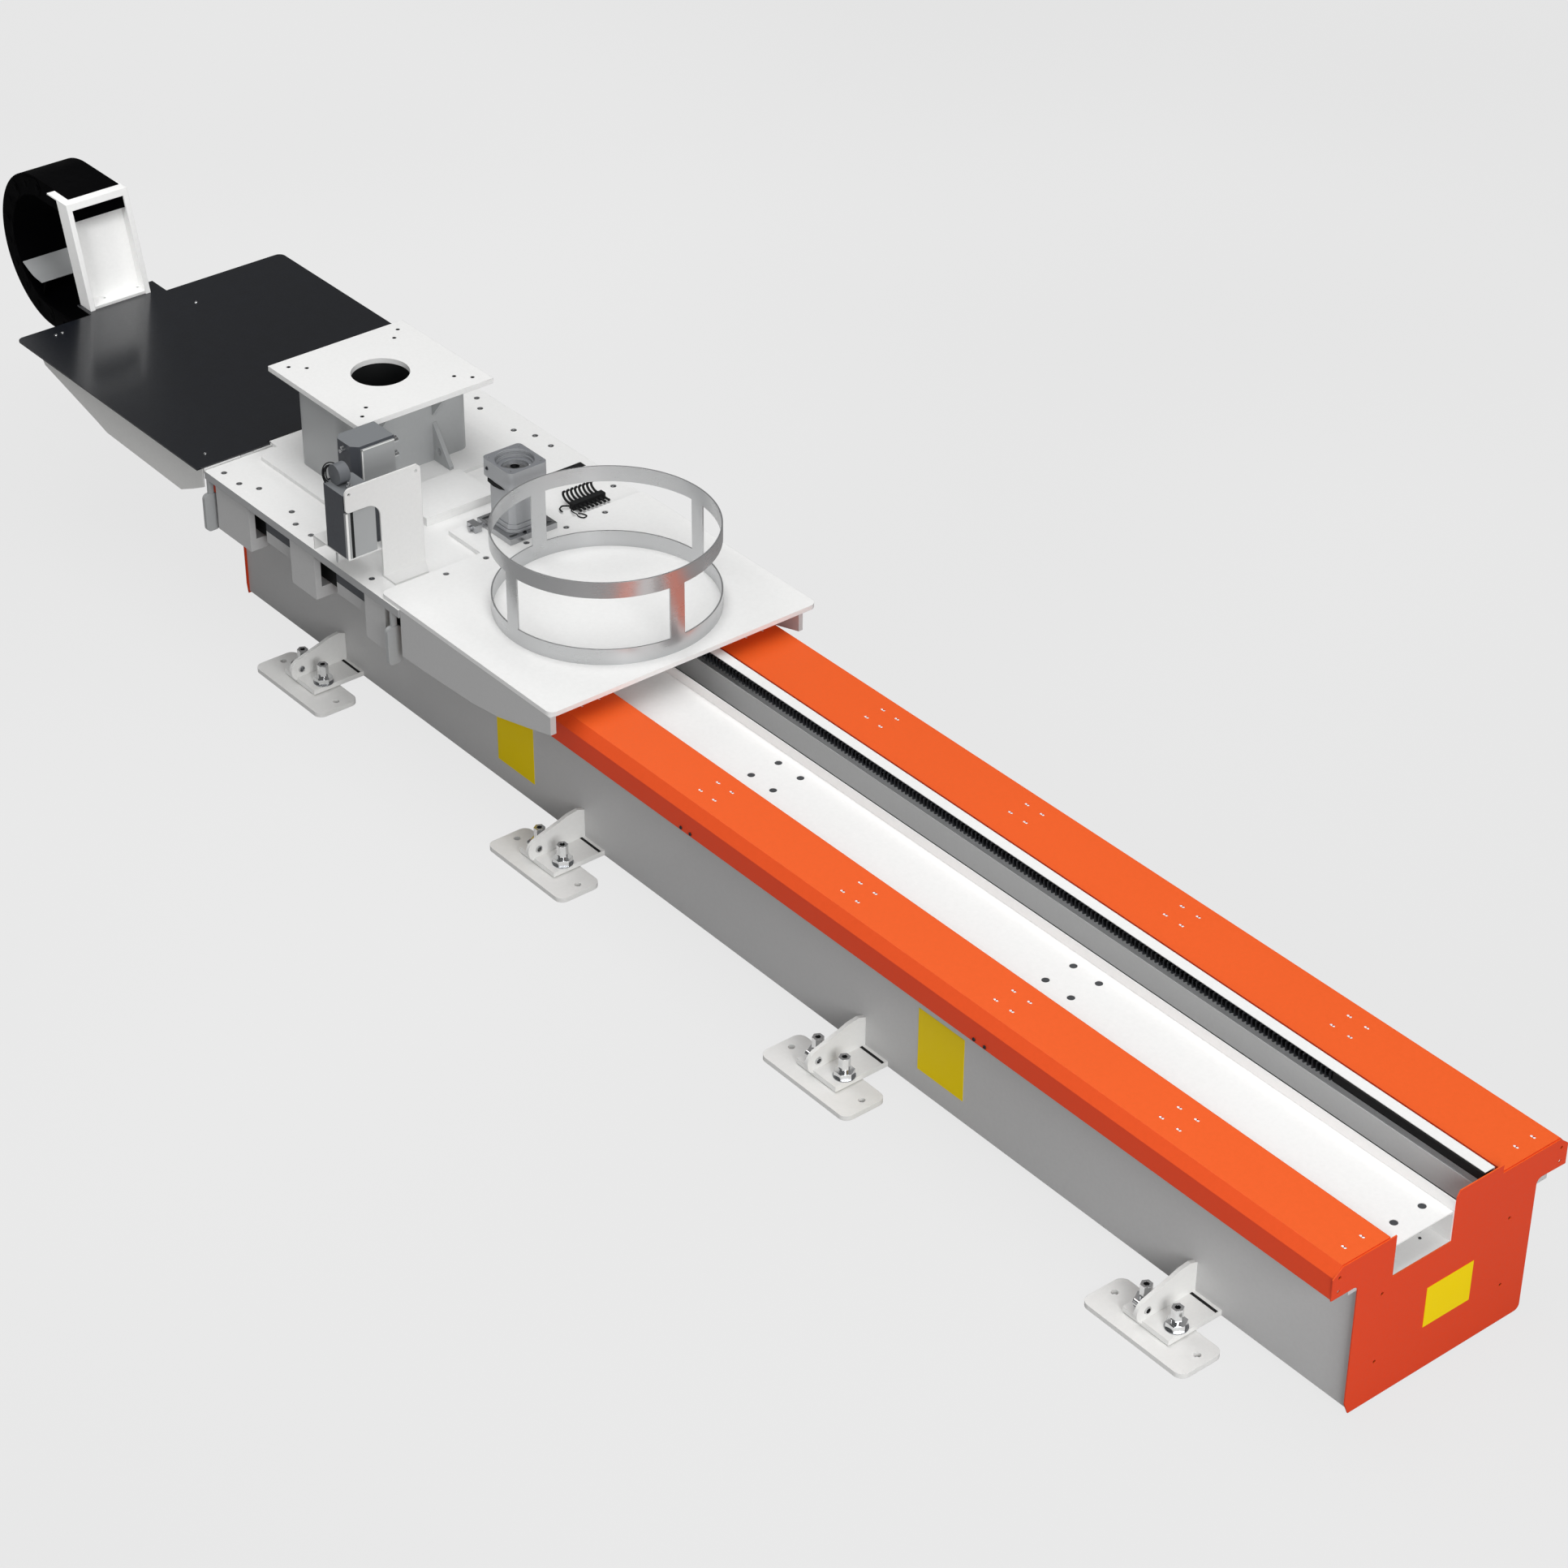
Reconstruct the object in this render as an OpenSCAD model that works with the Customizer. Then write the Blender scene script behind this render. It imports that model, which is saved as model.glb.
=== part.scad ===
// Ground rail track: a floor-standing linear axis that carries a robot on a rack-driven carriage.
// X runs along the track and grows towards its near end. Y is across it, with the front at -Y. Z is up.
// Places along the track are measured from the beam's near end, so they are negative.

/* [Beam] */
// Length of the welded beam
beam_len = 4020; // [4000:5:4060]
// Half of the beam's width over its side walls
beam_half_w = 245; // [243:1:246]
// Thickness of the beam's plates
beam_wall = 8; // [6:1:10]
// Height of the beam's underside above the floor
beam_base_z = 14; // [13:1:18]
// Top of the beam's deck, which the duct and the rack stand on
deck_z = 314; // [310:1:316]
// Top of the flanges that carry the rails
seat_z = 346; // [344:1:347]
// Distance of each rail's centre line from the track's centre
rail_y = 244; // [243:1:245]
// Width of a rail
rail_w = 34; // [30:1:36]
// Height of a rail
rail_h = 29; // [26:1:29]

/* [Feet] */
// Distances of the four feet from the near end
foot_places = [426, 1481, 2526, 3550];
// Length of a floor plate along the track
floor_plate_l = 300; // [280:2:320]
// Width of a floor plate
floor_plate_w = 120; // [110:2:124]
// Thickness of a floor plate
floor_plate_t = 12; // [10:1:13]
// Half of the width over all the floor plates
track_half_w = 436; // [436:1:440]
// Distance between the two anchor holes of a floor plate
anchor_pitch = 244; // [230:2:260]
// Radius of an anchor hole
anchor_r = 8; // [7:0.5:9]
// Distance between the two levelling screws of a foot
screw_pitch = 92; // [90:1:94]
// Distance of the levelling screws from the track's centre
screw_y = 352; // [348:1:354]
// Radius of a levelling screw
screw_r = 12; // [10:0.5:12]

/* [Covers] */
// Top of the covers
cover_z = 425; // [423:1:426]
// Thickness of the cover sheet
cover_t = 3; // [2:0.5:3]
// Half of the width over the covers' lips
lip_y = 335; // [334:1:336]
// Bottom edge of a cover's lip
lip_z = 351; // [349:1:354]
// Distance between the groups of slots in the covers
slot_pitch = 502; // [500:1:504]
// Distance of the first group of slots from the near end
slot_first = 520; // [515:1:530]

/* [Duct] */
// Front face of the duct
duct_front_y = -161; // [-162:1:-160]
// Back face of the duct
duct_back_y = 8; // [7:1:9]
// Thickness of the duct's sheet
duct_t = 3; // [2:0.5:3]
// Top of the duct's back wall
duct_wall_z = 420; // [416:1:420]
// Underside of the duct's lid
lid_z = 391; // [390:1:392]
// Length of the duct's tray past the beam's far end
tray_len = 940; // [900:10:960]

/* [Rack drive] */
// Module of the rack and the pinion
gear_module = 4; // [4:1:4]
// Number of teeth on the pinion
pinion_teeth = 21; // [21:1:21]
// Pitch line of the rack
rack_pitch_y = 90; // [90:1:90]
// Clearance between the tooth flanks
tooth_play = 0.4; // [0.3:0.1:0.6]
// Height of the rack
rack_h = 22; // [20:1:22]
// Number of teeth on one length of rack
rack_section_teeth = 40; // [38:1:40]
// Number of lengths of rack
rack_sections = 7; // [7:1:7]

/* [Carriage] */
// Distance of the pinion's axis from the beam's far end, with the carriage at rest
carriage_rest = 825; // [820:1:830]
// Underside of the carriage's main plate
plate_z = 446; // [446:1:448]
// Thickness of the main plate
plate_t = 22; // [20:1:22]
// Half of the main plate's width
plate_half_w = 400; // [398:1:402]
// Thickness of the ring plate
ring_plate_t = 12; // [10:1:12]
// Travel of the carriage
travel = 2280; // [2000:10:2280]

/* [Pedestal] */
// Length of the robot plate along the track
robot_plate_l = 405; // [400:1:410]
// Width of the robot plate
robot_plate_w = 408; // [400:1:410]
// Thickness of the robot plate
robot_plate_t = 14; // [12:1:16]
// Height of the robot plate's top
robot_plate_z = 712; // [706:1:716]
// Radius of the cable bore in the robot plate
robot_bore_r = 75; // [70:1:80]
// Distance between the holes of the outer robot pattern
robot_pattern_outer = 332; // [320:1:340]
// Distance between the holes of the inner robot pattern
robot_pattern_inner = 266; // [260:1:270]
// Radius of the robot's fixing holes
robot_hole_r = 5.5; // [5:0.5:7]

/* [Reducer] */
// Distance of the reducer's axis from the track's centre
reducer_y = 48; // [48:1:48]
// Radius of the motor's pilot bore
motor_pilot_r = 50; // [48:1:51]
// Depth of the motor's pilot bore
motor_pilot_depth = 12; // [10:1:14]
// Radius of the motor shaft's bore in the input hub
motor_shaft_r = 12; // [10:0.5:14]
// Pitch circle diameter of the motor's fixing holes
motor_pcd = 130; // [126:1:132]
// Radius of the motor's fixing holes
motor_hole_r = 3; // [2.5:0.5:4]

/* [Drum ring] */
// Outer radius of the ring that holds a wire drum
ring_r = 278; // [260:1:280]
// Thickness of the ring's band
ring_t = 4; // [3:0.5:5]
// Height of each band
band_h = 42; // [36:1:46]
// Top of the upper band above the ring plate
ring_h = 223; // [200:1:230]

/* [Energy chain] */
// Outer radius of the chain's bend
bend_r = 224; // [218:1:228]
// Height of the chain's links
chain_h = 60; // [56:1:62]
// Width of the chain
chain_w = 156; // [150:1:156]
// Length of the chain's straight links between its bend and the tow bracket, with the carriage at rest
last_links_l = 172; // [160:1:184]

/* [Hidden] */

$fn = 48;
end_t = 3;
sign_t = 0.8;
car_x = -beam_len + carriage_rest;
tow_foot_x = -1661;
tow_lean = 78;
tow_flange_w = 30;
end_x = tow_foot_x - tow_lean - tow_flange_w;
bend_x = car_x + end_x - last_links_l;
track_shift = (bend_r - bend_x - end_t - sign_t) / 2;

module track() translate([track_shift, 0, 0]) children();

// A block between two X, two Y and two Z values
module block(x, y, z) translate([x[0], y[0], z[0]]) cube([x[1] - x[0], y[1] - y[0], z[1] - z[0]]);

// The same thing on the front and on the back
module both_sides() {
    children();
    mirror([0, 1, 0]) children();
}

// A rectangle with round corners, drawn with circles so that its corners are true arcs
module rounded(x, y, r) {
    translate([x[0] + r, y[0]]) square([x[1] - x[0] - 2 * r, y[1] - y[0]]);
    translate([x[0], y[0] + r]) square([x[1] - x[0], y[1] - y[0] - 2 * r]);
    for (cx = [x[0] + r, x[1] - r], cy = [y[0] + r, y[1] - r]) translate([cx, cy]) circle(r);
}

// A flat plate with round corners
module plate(x, y, z, r) translate([0, 0, z[0]]) linear_extrude(z[1] - z[0]) rounded(x, y, r);

// An outline of (Y, Z) points made into a length along X
module along_x(x) translate([x[0], 0, 0]) rotate([90, 0, 90]) linear_extrude(x[1] - x[0]) children();

// An outline of (X, Z) points made into a length along Y
module along_y(y) translate([0, y[1], 0]) rotate([90, 0, 0]) linear_extrude(y[1] - y[0]) children();

// An upright hole or peg
module peg(x, y, z, r) translate([x, y, z[0]]) cylinder(r = r, h = z[1] - z[0]);

// Points of an arc
function arc(c, r, from, to, steps = 6) =
    [for (i = [0:steps]) let (a = from + (to - from) * i / steps) [c[0] + r * cos(a), c[1] + r * sin(a)]];

steel_grey = "#9A9B9B";
pale_grey = "#DCDCDA";
orange = "#FA6A2C";
white = "#F4F4F2";

seat_half = 40;
deck_t = 8;
seat_t = 12;
rib_half = 4;

// Welded box with a deck, and a flange on each side for the rails
module beam() {
    inner = beam_half_w - beam_wall;
    color(steel_grey) track() {
        both_sides() {
            block([-beam_len, 0], [inner, beam_half_w], [beam_base_z, seat_z - seat_t]);
            block([-beam_len, 0], [rail_y - seat_half, rail_y + seat_half], [seat_z - seat_t, seat_z]);
        }
        block([-beam_len, 0], [-inner, inner], [beam_base_z, beam_base_z + beam_wall]);
        block([-beam_len, 0], [-inner, inner], [deck_z - deck_t, deck_z]);
        for (x = foot_places) block([-x - rib_half, -x + rib_half], [-inner, inner],
                                    [beam_base_z + beam_wall, deck_z - deck_t]);
    }
}

lug_z = 15;
lug_t = 13;
lug_half_l = 68;
lug_tip_y = 395;
gusset_x = -15;
gusset_half_t = 5;
gusset_eye = [380, 48];
gusset_eye_r = 31;
gusset_slope = 20;
gusset_edge = [[319, 98], [293, 107], [264, 111]];
gusset_top_z = 104;
pin_hole_r = 9;
screw_play = 0.5;

// Outline of a foot's gusset: a bowed triangle with a round eye at its tip
module gusset_outline() {
    difference() {
        polygon(concat(
            [[beam_half_w, lug_z + lug_t], [gusset_eye[0] - gusset_eye_r, lug_z + lug_t]],
            arc(gusset_eye, gusset_eye_r, -90, 90 - gusset_slope, 12), gusset_edge,
            [[beam_half_w, gusset_top_z]]));
        translate(gusset_eye) circle(pin_hole_r);
    }
}

// Brackets that are welded to the beam's sides, each with a plate and a gusset
module foot_brackets() {
    color(pale_grey) track() both_sides() for (x = foot_places) {
        difference() {
            block([-x - lug_half_l, -x + lug_half_l], [beam_half_w, lug_tip_y], [lug_z, lug_z + lug_t]);
            for (s = [-1, 1])
                peg(-x + s * screw_pitch / 2, screw_y, [lug_z - 1, lug_z + lug_t + 1], screw_r + screw_play);
        }
        along_x([-x + gusset_x - gusset_half_t, -x + gusset_x + gusset_half_t]) gusset_outline();
    }
}

// Plates that are anchored to the floor under each foot
module floor_plates() {
    color(pale_grey) track() both_sides() for (x = foot_places) difference() {
        plate([-x - floor_plate_l / 2, -x + floor_plate_l / 2],
              [track_half_w - floor_plate_w, track_half_w], [0, floor_plate_t], 22);
        for (s = [-1, 1]) peg(-x + s * anchor_pitch / 2, 365, [-1, floor_plate_t + 1], anchor_r);
    }
}

screw_top_z = 80;
hex_from_z = 50;
socket_r = 7;
socket_depth = 12;

// Levelling screws: a round shank that stands on the floor plate, and a hexagon with a socket on top
module levelling_screws() {
    color("#7E8084") track() both_sides() for (x = foot_places, s = [-1, 1])
        translate([-x + s * screw_pitch / 2, screw_y, 0]) difference() {
            union() {
                translate([0, 0, floor_plate_t]) cylinder(r = screw_r, h = hex_from_z - floor_plate_t);
                translate([0, 0, hex_from_z])
                    cylinder(r = screw_r + 2, h = screw_top_z - hex_from_z, $fn = 6);
            }
            translate([0, 0, screw_top_z - socket_depth])
                cylinder(r = socket_r, h = socket_depth + 1, $fn = 6);
        }
}

nut_r = 24;
nut_h = 16;

// Nuts that lock the levelling screws to the brackets
module levelling_nuts() {
    color("#8C8E92") track() both_sides() for (x = foot_places, s = [-1, 1])
        translate([-x + s * screw_pitch / 2, screw_y, lug_z + lug_t]) difference() {
            cylinder(r = nut_r, h = nut_h, $fn = 6);
            translate([0, 0, -1]) cylinder(r = screw_r + 0.1, h = nut_h + 2);
        }
}

cover_top_y = 310;
bevel = [331, 401];
front_cover_y = 177;
back_cover_y = 144;
cover_fold = 24;
slot_half_l = 7;
slot_half_w = 3;
slot_half_pitch = 25;
slot_groups = [for (i = [0:6]) slot_first + i * slot_pitch];
end_slots = [36, beam_len - 36];

// Outline of a cover: flat top, bevel and lip, with a fold at its inner edge
module cover_outline(inner_y) {
    polygon([
        [inner_y, cover_z], [cover_top_y, cover_z], bevel, [lip_y, lip_z],
        [lip_y - cover_t, lip_z], [bevel[0] - cover_t, bevel[1] - 1],
        [cover_top_y - 2, cover_z - cover_t], [inner_y + cover_t, cover_z - cover_t],
        [inner_y + cover_t, cover_z - cover_fold], [inner_y, cover_z - cover_fold]]);
}

// Places of the slots in a cover: groups of four, and a pair at each end
function slot_places() = concat(
    [for (g = slot_groups, a = [-1, 1], b = [-1, 1])
        [-g + a * slot_half_pitch, rail_y + b * slot_half_pitch]],
    [for (g = end_slots, b = [-1, 1]) [-g, rail_y + b * slot_half_pitch]]);

module slot_shape(half_l = slot_half_l, half_w = slot_half_w) {
    straight = half_l - half_w;
    square([2 * straight, 2 * half_w], center = true);
    for (s = [-1, 1]) translate([s * straight, 0]) circle(half_w, $fn = 24);
}

module cover(inner_y) {
    color(orange) track() difference() {
        along_x([-beam_len, 0]) cover_outline(inner_y);
        for (p = slot_places()) translate([p[0], p[1], cover_z - cover_t - 1])
            linear_extrude(cover_t + 2) slot_shape();
    }
}

module front_cover() mirror([0, 1, 0]) cover(front_cover_y);
module back_cover() cover(back_cover_y);

bracket_half_l = 45;
bracket_t = 7;
post_y = [184, 202];

// Brackets on the beam's flanges that reach over the rails and carry the covers
module cover_brackets() {
    top = cover_z - cover_t;
    places = concat(slot_groups, [bracket_half_l + 5, beam_len - bracket_half_l - 5]);
    color(steel_grey) track() for (x = places, side = [-1, 1]) {
        inner = side < 0 ? front_cover_y + cover_t : back_cover_y + cover_t;
        x_range = [-x - bracket_half_l, -x + bracket_half_l];
        mirror([0, side < 0 ? 1 : 0, 0]) {
            block(x_range, [inner, rail_y + seat_half], [top - bracket_t, top]);
            block(x_range, [post_y[0], post_y[1]], [deck_z, top - bracket_t]);
        }
    }
}

// Low heads of the screws in the covers' slots
module cover_screws() {
    color("silver") track() both_sides() for (p = slot_places())
        peg(p[0], p[1], [cover_z - cover_t, cover_z - 0.8], slot_half_w - 0.3, $fn = 24);
}

near_left_y = -260;
far_left_y = -251;
plate_right_y = 251;
plate_low_z = 8;
wing_z = 348;
fillet_z = 336;
tab_z = 443;
tongue_y = 140;
wing_holes = [[316, 398], [316, 363]];
face_holes = [[-185, 109], [180, 110], [-185, 286], [180, 286]];
small_hole_r = 4;

// Outline of an end plate, with wings under the covers and a notch for the duct
module end_outline(play, left_y) {
    polygon(concat(
        [[-248, plate_low_z]], arc([plate_right_y - 14, plate_low_z + 14], 14, -90, 0),
        [[plate_right_y, fillet_z]], arc([plate_right_y + 14, fillet_z], 14, 180, 90, 4),
        [[lip_y, wing_z], [lip_y, bevel[1]], [cover_top_y, cover_z - cover_t],
         [tongue_y, cover_z - cover_t], [tongue_y, tab_z], [16, tab_z], [duct_back_y + play, tab_z - 15],
         [duct_back_y + play, deck_z + duct_t - play], [duct_front_y - play, deck_z + duct_t - play],
         [duct_front_y - play, cover_z - cover_t],
         [-cover_top_y, cover_z - cover_t], [-lip_y, bevel[1]], [-lip_y, wing_z]],
        arc([left_y - 12, fillet_z], 12, 90, 0, 4),
        [[left_y, plate_low_z + 29]]));
}

module end_plate(x, play, left_y) {
    color(orange) track() difference() {
        along_x(x) end_outline(play, left_y);
        for (h = concat(wing_holes, face_holes, [for (w = wing_holes) [-w[0], w[1]]]))
            translate([x[0] - 1, h[0], h[1]]) rotate([0, 90, 0])
                cylinder(r = small_hole_r, h = end_t + 2, $fn = 24);
    }
}

module near_end_plate() end_plate([0, end_t], 0, near_left_y);
module far_end_plate() end_plate([-beam_len - end_t, -beam_len], duct_t + 1, far_left_y);

ledge_w = 10;

// Sheet-metal duct that the chain lies in, with a ledge for its lid and a tray past the far end
module duct_channel() {
    color(white) track() difference() {
        along_x([-beam_len - tray_len, 0]) polygon([
            [duct_front_y, deck_z], [duct_back_y, deck_z], [duct_back_y, duct_wall_z],
            [duct_back_y - duct_t, duct_wall_z], [duct_back_y - duct_t, deck_z + duct_t],
            [duct_front_y + duct_t, deck_z + duct_t], [duct_front_y + duct_t, lid_z], [duct_front_y, lid_z]]);
        peg(-60, -20, [deck_z - 1, deck_z + duct_t + 1], 5);
    }
    color(white) track()
        block([-beam_len, 0], [duct_back_y - duct_t - ledge_w, duct_back_y - duct_t], [lid_z - 2, lid_z]);
}

lid_t = 3;
lid_hole_r = 9;
lid_hole_half = 40;
lid_centre_y = -72;
lid_groups = [1024, 2025, 3026];

// Lid of the duct, with groups of four round holes and a pair at each end
module duct_lid() {
    through = [lid_z - 1, lid_z + lid_t + 1];
    color(white) track() difference() {
        block([-beam_len, 0], [duct_front_y, duct_back_y - duct_t - 0.5], [lid_z, lid_z + lid_t]);
        for (g = lid_groups, a = [-1, 1], b = [-1, 1])
            peg(-g + a * lid_hole_half, lid_centre_y + b * lid_hole_half, through, lid_hole_r);
        for (g = [50, beam_len - 50], b = [-1, 1])
            peg(-g, lid_centre_y + b * lid_hole_half, through, lid_hole_r);
    }
}

rack_back_y = 118;
rack_base_y = 140;
rack_z = duct_wall_z;
bed_z = 401;
tube_wall = 5;

// Tube on the deck that carries the rack
module rack_support() {
    color("#8A8C8E") track() difference() {
        block([-beam_len, 0], [rack_pitch_y, rack_base_y], [deck_z, bed_z]);
        block([-beam_len - 1, 1], [rack_pitch_y + tube_wall, rack_base_y - tube_wall],
              [deck_z + tube_wall, bed_z - tube_wall]);
    }
}

// Machined bar between the tube and the rack
module rack_bed() {
    color("#A6A8AA") track() block([-beam_len, 0], [rack_pitch_y + 2, rack_base_y], [bed_z, rack_z]);
}

pitch = PI * gear_module;
pressure = tan(20);
near_tooth = floor((car_x + 410) / -pitch);
section_l = rack_section_teeth * pitch;
rack_joint = 0.2;
tooth_root_y = rack_pitch_y + 1.25 * gear_module;

// Points of one rack tooth that starts at x, from its root at one gap to its root at the next
function rack_tooth(x) = let (
    mid = x + pitch / 2,
    half = pitch / 4 - tooth_play / 4,
    tip = half - gear_module * pressure,
    root = half + 1.25 * gear_module * pressure,
    tip_y = rack_pitch_y - gear_module
) [[mid - root, tooth_root_y], [mid - tip, tip_y], [mid + tip, tip_y], [mid + root, tooth_root_y]];

// Toothed rack in several lengths, with the teeth towards the front
module rack() {
    near_x = car_x + near_tooth * pitch;
    color("#55585C") track() for (i = [0:rack_sections - 1]) {
        x0 = near_x - (i + 1) * section_l;
        translate([0, 0, rack_z]) linear_extrude(rack_h) polygon(concat(
            [[x0 + rack_joint, rack_back_y], [x0 + rack_joint, tooth_root_y]],
            [for (k = [0:rack_section_teeth - 1], p = rack_tooth(x0 + k * pitch)) p],
            [[x0 + section_l - rack_joint, tooth_root_y], [x0 + section_l - rack_joint, rack_back_y]]));
    }
}

strip_t = 1.5;
spacer_places = [30, 150, 270, 380];
spacer_half = 8;

// Strip over the rack, with spacers where the rack has ended
module rack_cover_strip() {
    top = rack_z + rack_h;
    outer = rack_back_y + 2 * strip_t;
    color(white) track() {
        block([-beam_len, -5], [rack_pitch_y + 3, outer], [top, top + strip_t]);
        block([-beam_len, -5], [outer - strip_t, outer], [rack_z + 2, top]);
        for (x = spacer_places)
            block([-x - spacer_half, -x + spacer_half], [rack_back_y - spacer_half, outer - strip_t],
                  [rack_z, top]);
    }
}

groove_z = 14;
groove_r = 5;
rail_end = 30;

// Profile rail with a groove in each side
module rail(side) {
    color("silver") track() mirror([0, side < 0 ? 1 : 0, 0]) difference() {
        block([-beam_len + rail_end, -rail_end], [rail_y - rail_w / 2, rail_y + rail_w / 2],
              [seat_z, seat_z + rail_h]);
        for (s = [-1, 1]) translate([-beam_len, rail_y + s * (rail_w / 2 + 1), seat_z + groove_z])
            rotate([0, 90, 0]) cylinder(r = groove_r, h = beam_len, $fn = 24);
    }
}

module front_rail() rail(-1);
module back_rail() rail(1);

// An X range given from the pinion's axis
function cx(a, b) = [car_x + a, car_x + b];

leg_spans = [[-702, -550], [-360, -251], [-29, 60]];
block_places = [-626, -305, 15];
block_half_l = 50;
block_half_w = 35;
block_z = [357, 397];
rail_play = 0.4;
seal_t = 6;
stop_gap = 2;
buffer_l = 10;
stop_l = 40;
stop_far = block_places[0] - block_half_l - seal_t - stop_gap;
stop_near = block_places[2] + block_half_l + seal_t + stop_gap + travel;

// X ranges of a stop at each end: the clamp, then its buffer towards the rail blocks
function stop_clamps() = [
    cx(stop_far - stop_l, stop_far - buffer_l), cx(stop_near + buffer_l, stop_near + stop_l)];
function stop_pads() = [cx(stop_far - buffer_l, stop_far), cx(stop_near, stop_near + buffer_l)];

// Clamps on the rails that end the carriage's travel
module rail_end_stops() {
    color(steel_grey) track() both_sides() for (x = stop_clamps())
        block(x, [rail_y - 29, rail_y + 29], [seat_z + rail_h, block_z[1] - 1]);
}

// Rubber pads on the stops, which meet the rail blocks
module stop_buffers() {
    color("#202124") track() both_sides() for (x = stop_pads())
        block(x, [rail_y - 22, rail_y + 22], [seat_z + rail_h, block_z[1] - 4]);
}

sign_l = 150;
sign_places = [2888, 1314];
sign_z = [70, 236];
end_sign_y = [-50, 84];
end_sign_z = [124, 227];

// Bare yellow plates on the front wall and on the near end
module sign_plates() {
    color("#F4D60A") track() {
        for (x = sign_places) block([-x, -x + sign_l], [-beam_half_w - sign_t, -beam_half_w], sign_z);
        block([end_t, end_t + sign_t], end_sign_y, end_sign_z);
    }
}

plate_top = plate_z + plate_t;
ring_plate_top = plate_top + ring_plate_t;
plate_span = [-735, 135];
leg_bolts = [for (x = [-695, -624, -364, -295, -28, 43], s = [-1, 1]) [x, s * 366]];
inner_bolts = concat([for (x = [-572, -422], s = [-1, 1]) [x, s * 340]], [[-345, 20]]);
ring_bolts = [[80, -103], [82, 17], [82, 138], [82, -223], [82, 258]];
shaft_hole_r = 50;
head_r = 7.2;
sink_r = 8;
hex_r = 3.6;
sink_depth = 9;
cable_slot_x = [-180, -156];
cable_slot_y = [287, 375];

// Thick plate that all of the carriage is bolted to
module main_plate() {
    color(white) track() difference() {
        block(cx(plate_span[0], plate_span[1]), [-plate_half_w, plate_half_w], [plate_z, plate_top]);
        block(cx(cable_slot_x[0], cable_slot_x[1]), cable_slot_y, [plate_z - 1, plate_top + 1]);
        peg(car_x, reducer_y, [plate_z - 1, plate_top + 1], shaft_hole_r);
        for (p = concat(leg_bolts, inner_bolts))
            peg(car_x + p[0], p[1], [plate_top - sink_depth, plate_top + 1], sink_r, $fn = 24);
    }
}

// Socket heads of the screws in the main plate and the ring plate
module carriage_bolts() {
    color("#6C6E72") track() {
        for (p = concat(leg_bolts, inner_bolts)) difference() {
            peg(car_x + p[0], p[1], [plate_top - sink_depth, plate_top - 1], head_r, $fn = 24);
            peg(car_x + p[0], p[1], [plate_top - 6, plate_top], hex_r, $fn = 6);
        }
        for (p = ring_bolts) difference() {
            peg(car_x + p[0], p[1], [ring_plate_top - sink_depth, ring_plate_top - 1], head_r, $fn = 24);
            peg(car_x + p[0], p[1], [ring_plate_top - 6, ring_plate_top], hex_r, $fn = 6);
        }
    }
}

leg_outer = 390;
leg_t = 18;
leg_low = 311;
leg_shelf_t = 32;
web_y = [290, 306];
saddle_z = [397, 409];
saddle_inner = 206;

// Hooked legs that reach round a cover's lip to the rail blocks under it
module legs() {
    color("#A2A4A5") track() for (s = leg_spans) {
        x = cx(s[0], s[1]);
        block(x, [leg_outer - leg_t, leg_outer], [leg_low, plate_z]);
        block(x, [web_y[0], leg_outer - leg_t], [leg_low, leg_low + leg_shelf_t]);
        block(x, web_y, [leg_low + leg_shelf_t, saddle_z[0]]);
        block(x, [saddle_inner, web_y[1]], saddle_z);
    }
}

module front_legs() mirror([0, 1, 0]) legs();
module back_legs() legs();

// Cross section of a rail block, open at the bottom for the rail
module block_section(shrink) {
    difference() {
        translate([rail_y - block_half_w + shrink, block_z[0] + shrink])
            square([2 * (block_half_w - shrink), block_z[1] - block_z[0] - 2 * shrink]);
        translate([rail_y - rail_w / 2 - rail_play, block_z[0] - 1])
            square([rail_w + 2 * rail_play, seat_z + rail_h + rail_play - block_z[0] + 1]);
    }
}

// Linear-guide blocks that run on the rails
module rail_blocks() {
    color("#B4B6B8") track() both_sides() for (x = block_places)
        along_x(cx(x - block_half_l, x + block_half_l)) block_section(0);
}

// End seals of the rail blocks
module block_seals() {
    far = block_half_l + seal_t;
    color("#1E1F22") track() both_sides()
        for (x = block_places, s = [[-far, -block_half_l], [block_half_l, far]])
            along_x(cx(x + s[0], x + s[1])) block_section(1);
}

curtain_span = [-730, 125];
curtain_y = [346, 349];
bar_spans = [[-512, -363], [-193, -32]];
bar_y = [349, 364];
bar_low = 381;

// Rubber strip inside the legs that keeps dust off the rails
module dust_curtains() {
    color("#17181A") track() both_sides()
        block(cx(curtain_span[0], curtain_span[1]), curtain_y, [lip_z - 3, plate_z]);
}

// Bars between the legs that clamp the dust curtains
module curtain_bars() {
    color("#3A3C3F") track() both_sides() for (s = bar_spans)
        block(cx(s[0], s[1]), bar_y, [bar_low, plate_z]);
}

hanger_spans = [[-731, -719], [93, 105]];
hanger_y = [375, 415];
hanger_z = [300, 406];
hanger_r = 13;
stem_y = [385, 400];

// Guide plates that hang under the main plate's corners on thin stems, with round corners
module guide_posts() {
    color("#C4C5C5") track() both_sides() for (s = hanger_spans) {
        along_x(cx(s[0], s[1])) rounded(hanger_y, hanger_z, hanger_r);
        block(cx(s[0] + 2, s[1] - 2), stem_y, [hanger_z[1] - 1, plate_z]);
    }
}

ring_span = [52, 748];
ring_half_w = 396;
ring_tongue = [-84, 70];
ring_tongue_y = [-100, 160];

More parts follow.
